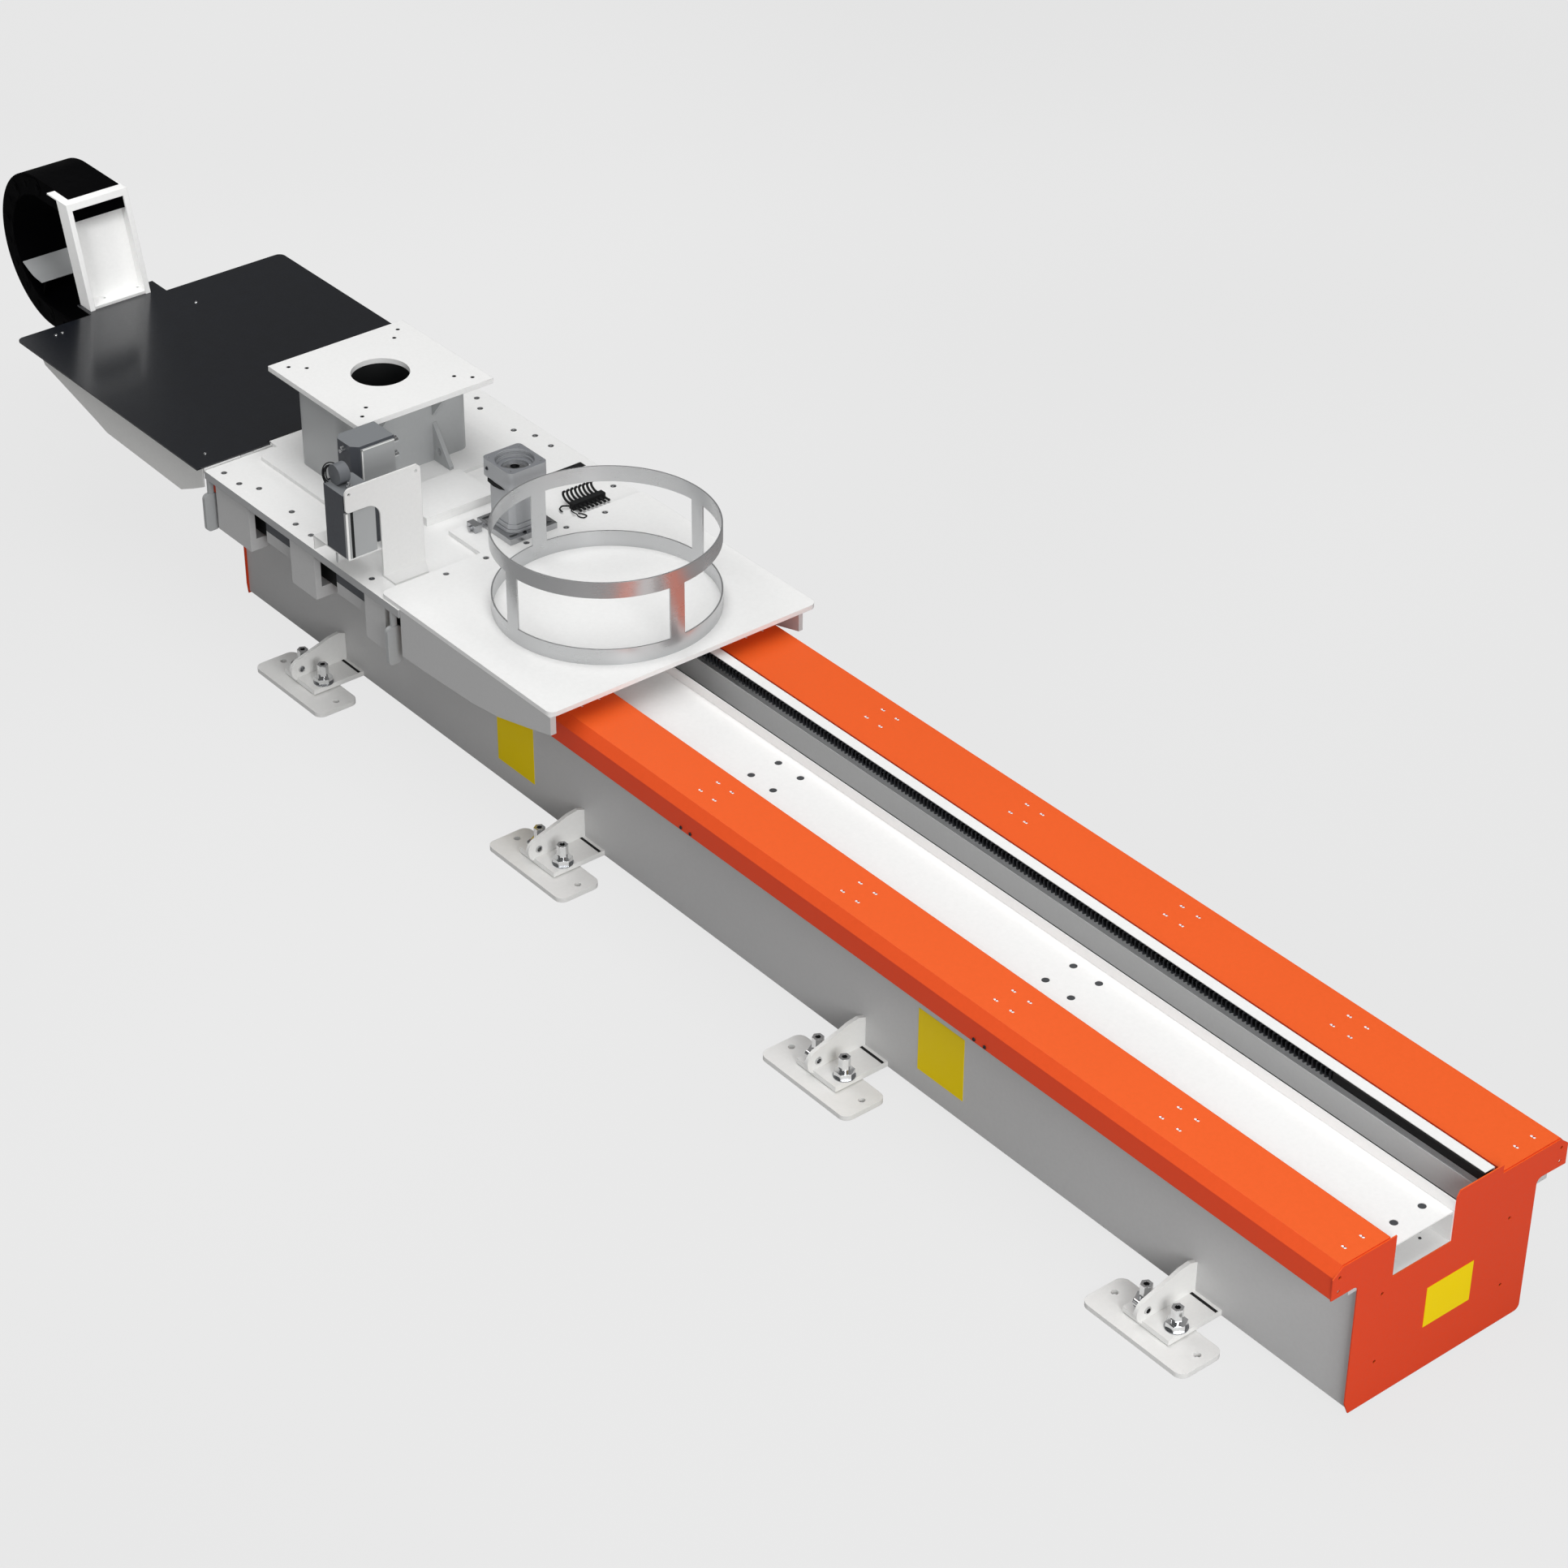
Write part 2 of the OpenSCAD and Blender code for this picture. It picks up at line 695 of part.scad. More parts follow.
// Thinner plate in front of the main plate, which carries the drum ring
module ring_plate() {
    color(white) track() difference() {
        union() {
            plate(cx(ring_span[0], ring_span[1]), [-ring_half_w, ring_half_w],
                  [plate_top, ring_plate_top], 20);
            block(cx(ring_tongue[0], ring_tongue[1]), ring_tongue_y, [plate_top, ring_plate_top]);
        }
        peg(car_x, reducer_y, [plate_top - 1, ring_plate_top + 1], shaft_hole_r);
        for (p = ring_bolts)
            peg(car_x + p[0], p[1], [ring_plate_top - sink_depth, ring_plate_top + 1], sink_r, $fn = 24);
    }
}

skirt_profile = [[136, 338], [253, 341], [355, 346], [422, 349], [528, 363], [673, 400], [746, 420]];
front_skirt_y = [-396, -380];
back_skirt_y = [340, 352];

// Stiffening skirts under the ring plate
module ring_skirts() {
    color("#B9BABA") track() for (y = [front_skirt_y, back_skirt_y])
        along_y(y) polygon(concat(
            [[car_x + skirt_profile[0][0], plate_top]],
            [for (p = skirt_profile) [car_x + p[0], p[1]]],
            [[car_x + skirt_profile[6][0], plate_top]]));
}

platform_span = [-1645, -737];
platform_half_w = 420;
platform_z = [474, 478];
platform_tongue = [-1719, -1600];
platform_tongue_y = [-188, 48];
platform_cut = [-751, 200];
frame_z = 450;
bar_w = 40;
bar_inner_y = 250;

// Dark platform behind the main plate, with a tongue for the tow bracket
module platform() {
    color("#20242A") track() {
        difference() {
            union() {
                plate(cx(platform_span[0], platform_span[1]), [-platform_half_w, platform_half_w],
                      platform_z, 20);
                block(cx(platform_span[1] - 40, platform_span[1]), [-platform_half_w, platform_half_w],
                      platform_z);
            }
            block(cx(platform_cut[0], 0), [-platform_cut[1], platform_cut[1]],
                  [platform_z[0] - 1, platform_z[1] + 1]);
        }
        block(cx(platform_tongue[0], platform_tongue[1]), platform_tongue_y, platform_z);
    }
}

// Welded bars under the platform, which join it to the main plate
module platform_frame() {
    far = platform_span[0] + bar_w + 5;
    color(steel_grey) track() {
        both_sides()
            block(cx(far, plate_span[0]), [bar_inner_y, bar_inner_y + bar_w], [frame_z, platform_z[0]]);
        for (x = [far, (far + plate_span[0]) / 2 - bar_w / 2, plate_span[0] - bar_w - 25])
            block(cx(x, x + bar_w), [-bar_inner_y, bar_inner_y], [frame_z, platform_z[0]]);
        block(cx(platform_tongue[0] + 4, far), [platform_tongue_y[0] + 38, platform_tongue_y[1] - 28],
              [frame_z + 6, platform_z[0]]);
    }
}

side_t = 4;
side_profile = [[-1556, 474], [-1535, 440], [-1284, 381], [-1228, 366],
                [-862, 358], [-801, 387], [-745, 416], [-745, 474]];

// Tapered sheets along the platform's sides
module platform_skirts() {
    color("#A8AAAB") track() both_sides() along_y([plate_half_w - side_t, plate_half_w])
        polygon([for (p = side_profile) [car_x + p[0], p[1]]]);
}

base_span = [-712, -312];
base_tab = [-748, 195];
base_chamfer = 22;
base_half_w = 257;
base_t = 10;
base_z = plate_top + base_t;
step_span = [-312, -152];
step_y = [-118, 92];
step_t = 22;
robot_x = -509;
column_span = [-613, -404];
column_half_w = 191;
column_r = 30;
column_wall = 12;

// Base plate of the pedestal, with a thicker step towards the reducer
module pedestal_base() {
    color(white) track() {
        c = base_chamfer;
        translate([car_x, 0, plate_top]) linear_extrude(base_t) polygon([
            [base_span[0] + c, -base_half_w], [base_span[1], -base_half_w], [base_span[1], base_half_w],
            [base_span[0] + c, base_half_w], [base_span[0], base_half_w - c], [base_span[0], base_tab[1]],
            [base_tab[0], base_tab[1]], [base_tab[0], -base_tab[1]], [base_span[0], -base_tab[1]],
            [base_span[0], -base_half_w + c]]);
        block(cx(step_span[0], step_span[1]), step_y, [plate_top, plate_top + step_t]);
    }
}

// Hollow column with round corners
module pedestal_column() {
    color("#D2D3D3") track() translate([0, 0, base_z]) linear_extrude(robot_plate_z - robot_plate_t - base_z)
        difference() {
            rounded(cx(column_span[0], column_span[1]), [-column_half_w, column_half_w], column_r);
            rounded(cx(column_span[0] + column_wall, column_span[1] - column_wall),
                    [-column_half_w + column_wall, column_half_w - column_wall], column_r - column_wall);
        }
}

gusset_y = 85;
gusset_w = 12;
gusset_reach = 69;
low_gusset_h = 108;
high_gusset_h = 92;
tip_h = 8;

// Gussets between the column and the plates above and below it
module pedestal_gussets() {
    under = robot_plate_z - robot_plate_t;
    color("#D2D3D3") track() for (y = [-gusset_y, gusset_y], s = [-1, 1]) {
        face = s > 0 ? column_span[1] : column_span[0];
        translate([car_x + face, y - gusset_w / 2, 0]) mirror([s > 0 ? 0 : 1, 0, 0]) difference() {
            along_y([0, gusset_w]) {
                polygon([[0, base_z], [gusset_reach, base_z], [gusset_reach, base_z + tip_h],
                         [0, base_z + low_gusset_h]]);
                polygon([[0, under], [gusset_reach, under], [gusset_reach, under - tip_h],
                         [0, under - high_gusset_h]]);
            }
            translate([22, -1, base_z + 34]) rotate([-90, 0, 0]) cylinder(r = 11, h = gusset_w + 2);
        }
    }
}

// Plate that the robot is bolted to
module robot_plate() {
    half_l = robot_plate_l / 2;
    half_w = robot_plate_w / 2;
    color(white) track() translate([car_x + robot_x, 0, 0]) difference() {
        block([-half_l, half_l], [-half_w, half_w], [robot_plate_z - robot_plate_t, robot_plate_z]);
        peg(0, 0, [robot_plate_z - robot_plate_t - 1, robot_plate_z + 1], robot_bore_r, $fn = 96);
        for (d = [robot_pattern_outer, robot_pattern_inner], a = [-1, 1], b = [-1, 1])
            peg(a * d / 2, b * d / 2, [robot_plate_z - robot_plate_t - 1, robot_plate_z + 1], robot_hole_r);
    }
}

flange_half = 71;
flange_t = 16;
flange_z = ring_plate_top;
body_z = flange_z + flange_t;
head_z = 621;
head_top = 669;
head_half = [60, 57];
body_half = 50;
body_r = 62;
shaft_r = 25;
fit = 0.05;

// Flange of the reducer, with slots for setting the tooth play
module reducer_flange() {
    color("#85878A") track() translate([car_x, reducer_y, 0]) difference() {
        block([-flange_half, flange_half], [-flange_half, flange_half], [flange_z, body_z]);
        peg(0, 0, [flange_z - 1, body_z + 1], shaft_r + fit);
        for (a = [-1, 1], b = [-1, 1]) translate([a * 57, b * 50, flange_z - 1])
            linear_extrude(flange_t + 2) rotate(90) slot_shape(14, 4.5);
    }
}

hub_r = 32;
cavity_r = 34;
recess_r = 46;
recess_depth = 20;
cavity_z = 584;
journal_z = 564;
shaft_top = 546;
hub_top = 648;
hub_floor = 16;

// Planetary gearbox housing between the flange and the head
module reducer_body() {
    color("#A9ABAE") track() translate([car_x, reducer_y, 0]) difference() {
        intersection() {
            peg(0, 0, [body_z, head_z], body_r);
            block([-body_half, body_half], [-body_half, body_half], [body_z - 1, head_z + 1]);
        }
        peg(0, 0, [body_z - 1, shaft_top + 1], shaft_r + fit);
        peg(0, 0, [journal_z - 1, cavity_z + 1], motor_shaft_r + fit);
        peg(0, 0, [cavity_z, head_z + 1], cavity_r);
    }
}

// Square head that a motor is bolted to
module reducer_head() {
    color("#8E9093") track() translate([car_x, reducer_y, 0]) difference() {
        plate([-head_half[0], head_half[0]], [-head_half[1], head_half[1]], [head_z, head_top], 12);
        peg(0, 0, [head_z - 1, head_top], cavity_r);
        peg(0, 0, [head_top - motor_pilot_depth, head_top + 1], motor_pilot_r);
        peg(0, 0, [head_top - recess_depth, head_top], recess_r);
        for (a = [45:90:315]) rotate(a) peg(motor_pcd / 2, 0, [head_top - 20, head_top + 1], motor_hole_r);
    }
}

// Block and jack screw that push the reducer towards the rack
module reducer_adjuster() {
    color("#9A9C9F") track() translate([car_x, reducer_y, 0]) {
        block([-66, -30], [-flange_half - 34, -flange_half - 14], [flange_z, flange_z + 20]);
        translate([-48, -flange_half - 14, flange_z + 9]) rotate([-90, 0, 0]) cylinder(r = 4, h = 14);
        translate([-48, -flange_half - 41, flange_z + 9]) rotate([-90, 0, 0]) cylinder(r = 7, h = 7, $fn = 6);
    }
}

// Clamping hub that takes the motor's shaft
module input_hub() {
    color("#6E7074") track() translate([car_x, reducer_y, 0]) difference() {
        union() {
            peg(0, 0, [journal_z, cavity_z + 2], motor_shaft_r);
            peg(0, 0, [cavity_z + 2, hub_top], hub_r);
        }
        peg(0, 0, [cavity_z + hub_floor, hub_top + 1], motor_shaft_r);
    }
}

pinion_z = [rack_z + 2, rack_z + rack_h - 1];
bore_r = 16;

// Output shaft of the reducer, down to the pinion
module pinion_shaft() {
    color("silver") track() translate([car_x, reducer_y, 0]) {
        peg(0, 0, pinion_z, bore_r);
        peg(0, 0, [pinion_z[1], shaft_top], shaft_r);
    }
}

pitch_r = gear_module * pinion_teeth / 2;
base_r = pitch_r * cos(20);
tip_r = pitch_r + gear_module;
root_r = pitch_r - 1.25 * gear_module;

// Involute function in degrees
function involute(a) = tan(a) * 180 / PI - a;

// Half of the angle that a tooth covers at radius r
function half_angle(r) =
    90 / pinion_teeth - tooth_play / 4 / pitch_r * 180 / PI
    + involute(20) - involute(acos(min(1, base_r / r)));

// Points of one pinion tooth, from one root to the next
function pinion_tooth(a) = let (
    radii = [for (i = [0:3]) base_r + (tip_r - base_r) * i / 3],
    polar = function (r, b) [r * cos(b), r * sin(b)]
) concat(
    [polar(root_r, a - half_angle(base_r))],
    [for (r = radii) polar(r, a - half_angle(r))],
    [for (i = [3:-1:0]) polar(radii[i], a + half_angle(radii[i]))],
    [polar(root_r, a + half_angle(base_r))]);

// Pinion with involute teeth, one of which stands in a gap of the rack
module pinion() {
    color("#6A6D71") track() translate([car_x, reducer_y, pinion_z[0]])
        linear_extrude(pinion_z[1] - pinion_z[0])
        difference() {
            polygon([for (i = [0:pinion_teeth - 1], p = pinion_tooth(90 + i * 360 / pinion_teeth)) p]);
            circle(bore_r + 0.02);
        }
}

ring_x = 437;
upright_w = 42;

// Ring that holds a wire drum: two bands joined by four uprights
module drum_ring() {
    base = ring_plate_top;
    color("#B9BBBD") track() translate([car_x + ring_x, 0, base]) {
        difference() {
            cylinder(r = ring_r, h = ring_h, $fn = 128);
            translate([0, 0, -1]) cylinder(r = ring_r - ring_t, h = ring_h + 2, $fn = 128);
            for (a = [0:90:270]) rotate(a)
                translate([upright_w / 2, upright_w / 2, band_h]) cube([ring_r, ring_r, ring_h - 2 * band_h]);
        }
    }
}

sheet_x = [-19, -14];
sheet_top = 743;
sheet_arm_z = 678;
sheet_holes = [[-424, 727], [-232, 726]];
sheet_y = [-436, -218];
sheet_leg_y = -339;
sheet_foot_x = 35;
tray_x = [-172, -17];
tray_y = [-434, -330];
tray_z = [546, 549];
tray_flange_low = 511;

// Folded sheet bracket for the lubricator, with the tray that it stands on
module sheet_bracket() {
    color("#C3C5C6") track() {
        difference() {
            along_x(cx(sheet_x[0], sheet_x[1])) polygon(concat(
                [[sheet_y[1], plate_top], [sheet_y[1], sheet_top - 10], [sheet_y[1] - 10, sheet_top]],
                arc([sheet_y[0] + 16, sheet_top - 16], 16, 90, 180),
                arc([sheet_y[0] + 10, sheet_arm_z + 10], 10, 180, 270),
                arc([sheet_leg_y - 37, sheet_arm_z - 37], 37, 90, 0, 8),
                [[sheet_leg_y, plate_top]]));
            for (h = sheet_holes) translate([car_x + sheet_x[0] - 1, h[0], h[1]])
                rotate([0, 90, 0]) cylinder(r = 4, h = 7, $fn = 24);
        }
        translate([car_x, 0, plate_top]) linear_extrude(5) polygon([
            [sheet_x[1], sheet_leg_y], [sheet_foot_x, sheet_leg_y], [sheet_foot_x, sheet_y[1] - 24],
            [sheet_x[1], sheet_y[1]]]);
        block(cx(tray_x[0], tray_x[1]), tray_y, tray_z);
        block(cx(tray_x[0], tray_x[0] + 3), [tray_y[0], tray_y[0] + 84], [tray_flange_low, tray_z[1]]);
    }
}

lube_x = [-121, -27];
lube_y = [-434, -350];
lube_z = [549, 721];
lube_chamfer = 12;

// Body of the automatic lubricator
module lubricator_body() {
    c = lube_chamfer;
    color("#4A4D53") track() translate([0, 0, lube_z[0]]) linear_extrude(lube_z[1] - lube_z[0]) polygon([
        [car_x + lube_x[0] + c, lube_y[0]], [car_x + lube_x[1], lube_y[0]], [car_x + lube_x[1], lube_y[1]],
        [car_x + lube_x[0] + c, lube_y[1]], [car_x + lube_x[0], lube_y[1] - c],
        [car_x + lube_x[0], lube_y[0] + c]]);
}

// Front cover of the lubricator and its edge strip
module lubricator_front() {
    color("#8F9194") track() {
        block(cx(lube_x[1], lube_x[1] + 8), [lube_y[0] + 20, lube_y[1]], [lube_z[0], sheet_arm_z - 4]);
        block(cx(lube_x[1], lube_x[1] + 8), [lube_y[0], lube_y[0] + 15], [lube_z[0], sheet_arm_z - 4]);
    }
}

cap_r = 26;

// Round cap on the lubricator's top
module lubricator_cap() {
    color("#6A6D71") track() translate([car_x - 87, -416, lube_z[1] + cap_r]) rotate([-90, 0, 0])
        cylinder(r = cap_r, h = 30);
}

box_x = [-252, -165];
box_y = [-309, -191];
box_top = 746;
panel_z = 640;
box_chamfer = 16;

// Upright junction box on the main plate
module junction_box() {
    c = box_chamfer;
    color("#3F4247") track() translate([0, 0, plate_top]) linear_extrude(box_top - plate_top) polygon([
        [car_x + box_x[0], box_y[0] + c], [car_x + box_x[0] + c, box_y[0]], [car_x + box_x[1] - c, box_y[0]],
        [car_x + box_x[1], box_y[0] + c], [car_x + box_x[1], box_y[1]], [car_x + box_x[0], box_y[1]]]);
}

// Door of the junction box
module junction_panel() {
    color("#9C9EA1") track()
        block(cx(box_x[1], box_x[1] + 5), [box_y[0] + 20, box_y[1] - 3], [panel_z, box_top - 8]);
}

clip_places = [[-205, -316, 728], [-172, -184, 726], [-172, -184, 686], [-50, -400, 726]];

// Chrome clips on the junction box and the lubricator
module chrome_clips() {
    color("silver") track() for (p = clip_places) translate([car_x + p[0], p[1], p[2]]) {
        rotate([90, 0, 0]) cylinder(r = 5, h = 14, center = true, $fn = 24);
        translate([0, 0, 8]) rotate([90, 0, 0]) cylinder(r = 4, h = 6, center = true, $fn = 24);
    }
}

distributor_x = [-6, 12];
distributor_y = [212, 312];
distributor_h = 18;
outlet_pitch = 12.5;
outlets = [[-22, -6], [12, 34]];

// Grease distributor with a row of outlets on each side
module distributor() {
    color("#2C2E31") track() {
        block(cx(distributor_x[0], distributor_x[1]), distributor_y, [plate_top, plate_top + distributor_h]);
        for (i = [0:7], side = outlets)
            translate([car_x + side[0], distributor_y[0] + (i + 0.5) * outlet_pitch,
                       plate_top + distributor_h / 2])
                rotate([0, 90, 0]) cylinder(r = 3, h = side[1] - side[0], $fn = 24);
    }
}

tow_top = 763;
tow_y = [-180, 8];
tow_t = 6;
tow_lap = 2;
tow_depth = 54;
tow_strip_w = 15;
tow_bar_h = 18;
tow_flange_t = 4;
tow_panel_top = 704;
ear_l = 102;
ear_w = 24;
foot_t = 8;
foot_holes = [[-36, -116], [-36, -12]];

// X of the leaning front face at a height
function lean_x(z) =
    car_x + tow_foot_x - tow_lean * (z - platform_z[1]) / (tow_top - platform_z[1]);

// Leaning strip along Y, between two heights, at a depth behind the front face
module lean_strip(y, z, depth, thick) {
    far = depth + thick;
    along_y(y) polygon([[lean_x(z[0]) - depth, z[0]], [lean_x(z[1]) - depth, z[1]],
                        [lean_x(z[1]) - far, z[1]], [lean_x(z[0]) - far, z[0]]]);
}

// Leaning box that tows the chain: two cheeks, a back panel, a foot and a top with an ear
module tow_bracket() {
    foot = platform_z[1];
    inner = [tow_y[0] + tow_t, tow_y[1] - tow_t];
    bar_z = tow_top - tow_bar_h;
    top_x = lean_x(tow_top);
    flange_z = [tow_top - tow_flange_t, tow_top];
    color(white) track() {
        for (y = [[tow_y[0], inner[0]], [inner[1], tow_y[1]]]) lean_strip(y, [foot, tow_top], 0, tow_depth);
        lean_strip([inner[0], tow_y[0] + tow_strip_w], [foot, bar_z], 0, tow_t);
        lean_strip([tow_y[1] - tow_strip_w, inner[1]], [foot, bar_z], 0, tow_t);
        lean_strip(inner, [bar_z, tow_top], 0, tow_t);
        lean_strip(inner, [foot, tow_panel_top], tow_depth - tow_t, tow_t);
        block([top_x - tow_flange_w, top_x - tow_t + tow_lap], inner, flange_z);
        block([top_x - ear_l, top_x - tow_t + tow_lap], [tow_y[0], tow_y[0] + ear_w], flange_z);
        difference() {
            block(cx(tow_foot_x - tow_depth + tow_lap, tow_foot_x - tow_t + tow_lap), inner,
                  [foot, foot + foot_t]);
            for (h = foot_holes)
                peg(car_x + tow_foot_x + h[0], h[1], [foot - 1, foot + foot_t + 1], 4, $fn = 24);
        }
    }
}

chain_y = -77;
chain_z = deck_z + duct_t;
bend_z = chain_z + bend_r;
run_y = [chain_y - chain_w / 2, chain_y + chain_w / 2];
tongue_l = 24;
connector_l = 14;
connector_h = 12;
lower_run_x = -755;

// Last links of the chain, with a connector that is screwed between the tow bracket's cheeks
module chain_end() {
    low = bend_z + bend_r - chain_h;
    color("#0C0D0E") track() {
        block([bend_x, car_x + end_x], run_y, [low, low + chain_h]);
        block(cx(end_x, end_x + tongue_l), run_y, [low, tow_top - tow_flange_t]);
        block(cx(end_x - connector_l, end_x), [tow_y[0] + tow_t, tow_y[1] - tow_t],
              [low, low + connector_h]);
    }
}

// Bend of the chain
module chain_bend() {
    color("#0C0D0E") track() intersection() {
        translate([bend_x, run_y[0], bend_z]) rotate([-90, 0, 0]) difference() {
            cylinder(r = bend_r, h = chain_w, $fn = 96);
            translate([0, 0, -1]) cylinder(r = bend_r - chain_h, h = chain_w + 2, $fn = 96);
        }
        block([bend_x - bend_r - 1, bend_x], [run_y[0] - 1, run_y[1] + 1], [0, 2 * bend_z]);
    }
}

// Lower run of the chain, in the duct
module chain_lower_run() {
    color("#0C0D0E") track() block([bend_x, car_x + lower_run_x], run_y, [chain_z, chain_z + chain_h]);
}

beam();
foot_brackets();
floor_plates();
levelling_screws();
levelling_nuts();
front_cover();
back_cover();
cover_brackets();
cover_screws();
near_end_plate();
far_end_plate();
duct_channel();
duct_lid();
rack_support();
rack_bed();
rack();
rack_cover_strip();
front_rail();
back_rail();
rail_end_stops();
stop_buffers();
sign_plates();
main_plate();
front_legs();
back_legs();
rail_blocks();
block_seals();
dust_curtains();
curtain_bars();
guide_posts();
ring_plate();
ring_skirts();
platform();
platform_frame();
platform_skirts();
pedestal_base();
pedestal_column();
pedestal_gussets();
robot_plate();
carriage_bolts();
reducer_flange();
reducer_body();
reducer_head();
reducer_adjuster();
input_hub();
pinion_shaft();
pinion();
drum_ring();
sheet_bracket();
lubricator_body();
lubricator_front();
lubricator_cap();
junction_box();
junction_panel();
chrome_clips();
distributor();
tow_bracket();
chain_end();
chain_bend();
chain_lower_run();
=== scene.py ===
# Ground rail track: a finish for every CAD node, the small fittings that CAD leaves out, and the studio
import math

import bmesh
import bpy
import numpy as np
from bpy.props import FloatProperty, FloatVectorProperty, IntProperty, PointerProperty
from mathutils import Matrix, Vector


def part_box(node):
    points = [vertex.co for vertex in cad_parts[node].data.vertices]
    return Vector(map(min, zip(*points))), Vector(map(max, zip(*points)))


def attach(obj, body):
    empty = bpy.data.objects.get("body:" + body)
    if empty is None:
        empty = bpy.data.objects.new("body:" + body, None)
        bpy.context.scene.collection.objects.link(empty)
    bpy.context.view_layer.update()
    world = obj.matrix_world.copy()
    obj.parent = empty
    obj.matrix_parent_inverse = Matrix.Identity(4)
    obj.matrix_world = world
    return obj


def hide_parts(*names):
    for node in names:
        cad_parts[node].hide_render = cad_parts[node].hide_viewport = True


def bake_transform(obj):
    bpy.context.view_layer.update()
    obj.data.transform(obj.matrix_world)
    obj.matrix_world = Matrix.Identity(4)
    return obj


bl_info = {
    "name": "Rail track finishes",
    "version": (1, 0, 0),
    "blender": (4, 5, 0),
    "location": "View3D > Sidebar > Rail track",
    "description": "Paints, bare metals, small fittings and studio for a robot's ground rail track",
    "category": "Object",
}

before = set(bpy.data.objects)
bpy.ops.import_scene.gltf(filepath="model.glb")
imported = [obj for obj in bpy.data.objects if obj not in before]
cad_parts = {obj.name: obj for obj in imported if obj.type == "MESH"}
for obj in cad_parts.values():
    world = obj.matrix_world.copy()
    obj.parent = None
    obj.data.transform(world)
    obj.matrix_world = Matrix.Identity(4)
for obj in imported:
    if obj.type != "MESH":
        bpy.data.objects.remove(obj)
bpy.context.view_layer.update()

MM = 0.001
TRACK, CARRIAGE, CHAIN = "track", "carriage", "chain"
X, Y, Z = 0, 1, 2


def linear(hex_colour):
    """Linear RGB of an sRGB hex colour."""
    srgb = np.array([int(hex_colour[i:i + 2], 16) for i in (1, 3, 5)]) / 255
    return tuple(np.where(srgb <= 0.04045, srgb / 12.92, ((srgb + 0.055) / 1.055) ** 2.4).tolist())


def low(node):
    """Lowest corner of a CAD node, in metres."""
    return np.array(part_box(node)[0])


def high(node):
    """Highest corner of a CAD node, in metres."""
    return np.array(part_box(node)[1])


def middle(node):
    """Centre of a CAD node's box, in metres."""
    return (low(node) + high(node)) / 2


# Places that the pieces are measured from: the beam's near end and the pinion's axis
near_x = high("beam")[X]
drive_x, drive_y = middle("pinion_shaft")[:2]
plate_top = high("main_plate")[Z]


# Surfaces, worked out as whole arrays of points

def grid_faces(rows, columns, closed_rows=False):
    """Quads of a grid whose rows close: each joins a point, the next along its row, and the two below."""
    r, c = np.meshgrid(np.arange(rows - (not closed_rows)), np.arange(columns), indexing="ij")
    r, c = r.ravel(), c.ravel()
    below, beside = (r + 1) % rows, (c + 1) % columns
    return np.stack([r * columns + c, below * columns + c,
                     below * columns + beside, r * columns + beside], axis=1).tolist()


def loft(rings, closed=False):
    """Solid through rings of points: quads between neighbours, and a flat face on each open end."""
    rings = np.asarray(rings, float)
    rows, columns = rings.shape[:2]
    faces = grid_faces(rows, columns, closed_rows=closed)
    if not closed:
        ring = np.arange(columns)
        faces += [ring[::-1].tolist(), (ring + (rows - 1) * columns).tolist()]
    return rings.reshape(-1, 3), faces


def prism(outline, axis, start, end):
    """Outline of two coordinates carried straight along an axis, from start to end."""
    outline = np.asarray(outline, float)
    rings = np.empty((2, len(outline), 3))
    rings[:, :, [i for i in (X, Y, Z) if i != axis]] = outline
    rings[:, :, axis] = [[start], [end]]
    return loft(rings)


def block(x, y, z):
    """Box between two X, two Y and two Z values."""
    return prism([(x[0], y[0]), (x[1], y[0]), (x[1], y[1]), (x[0], y[1])], Z, z[0], z[1])


def turned(profile, centre, axis=Z, sides=24):
    """Profile of (radius, height) points carried round an axis: across it, r cos a and r sin a."""
    profile = np.asarray(profile, float)
    angle = np.arange(sides) * 2 * np.pi / sides
    rings = np.empty((len(profile), sides, 3))
    rings[..., (axis + 1) % 3] = profile[:, :1] * np.cos(angle)
    rings[..., (axis + 2) % 3] = profile[:, :1] * np.sin(angle)
    rings[..., axis] = profile[:, 1:]
    return loft(rings + np.asarray(centre, float))


def hoop(profile, centre, axis=Z, sides=48):
    """Closed profile of (radius, height) points carried right round an axis, as a washer or a seal is."""
    profile = np.asarray(profile, float)
    angle = np.arange(sides) * 2 * np.pi / sides
    rings = np.empty((sides, len(profile), 3))
    rings[..., (axis + 1) % 3] = profile[:, 0] * np.cos(angle)[:, None]
    rings[..., (axis + 2) % 3] = profile[:, 0] * np.sin(angle)[:, None]
    rings[..., axis] = profile[:, 1]
    return loft(rings + np.asarray(centre, float), closed=True)


def tube(path, radius, sides=8, guide=(0, 0, 1)):
    """Circle carried along a path: each ring lies across the path, with the guide giving its turn."""
    path = np.asarray(path, float)
    along = np.gradient(path, axis=0)
    along /= np.linalg.norm(along, axis=1, keepdims=True)
    side = np.cross(along, guide)
    side /= np.linalg.norm(side, axis=1, keepdims=True)
    lift = np.cross(side, along)
    angle = np.arange(sides) * 2 * np.pi / sides
    rings = (path[:, None] + radius * (side[:, None] * np.cos(angle)[:, None]
                                       + lift[:, None] * np.sin(angle)[:, None]))
    return loft(rings)


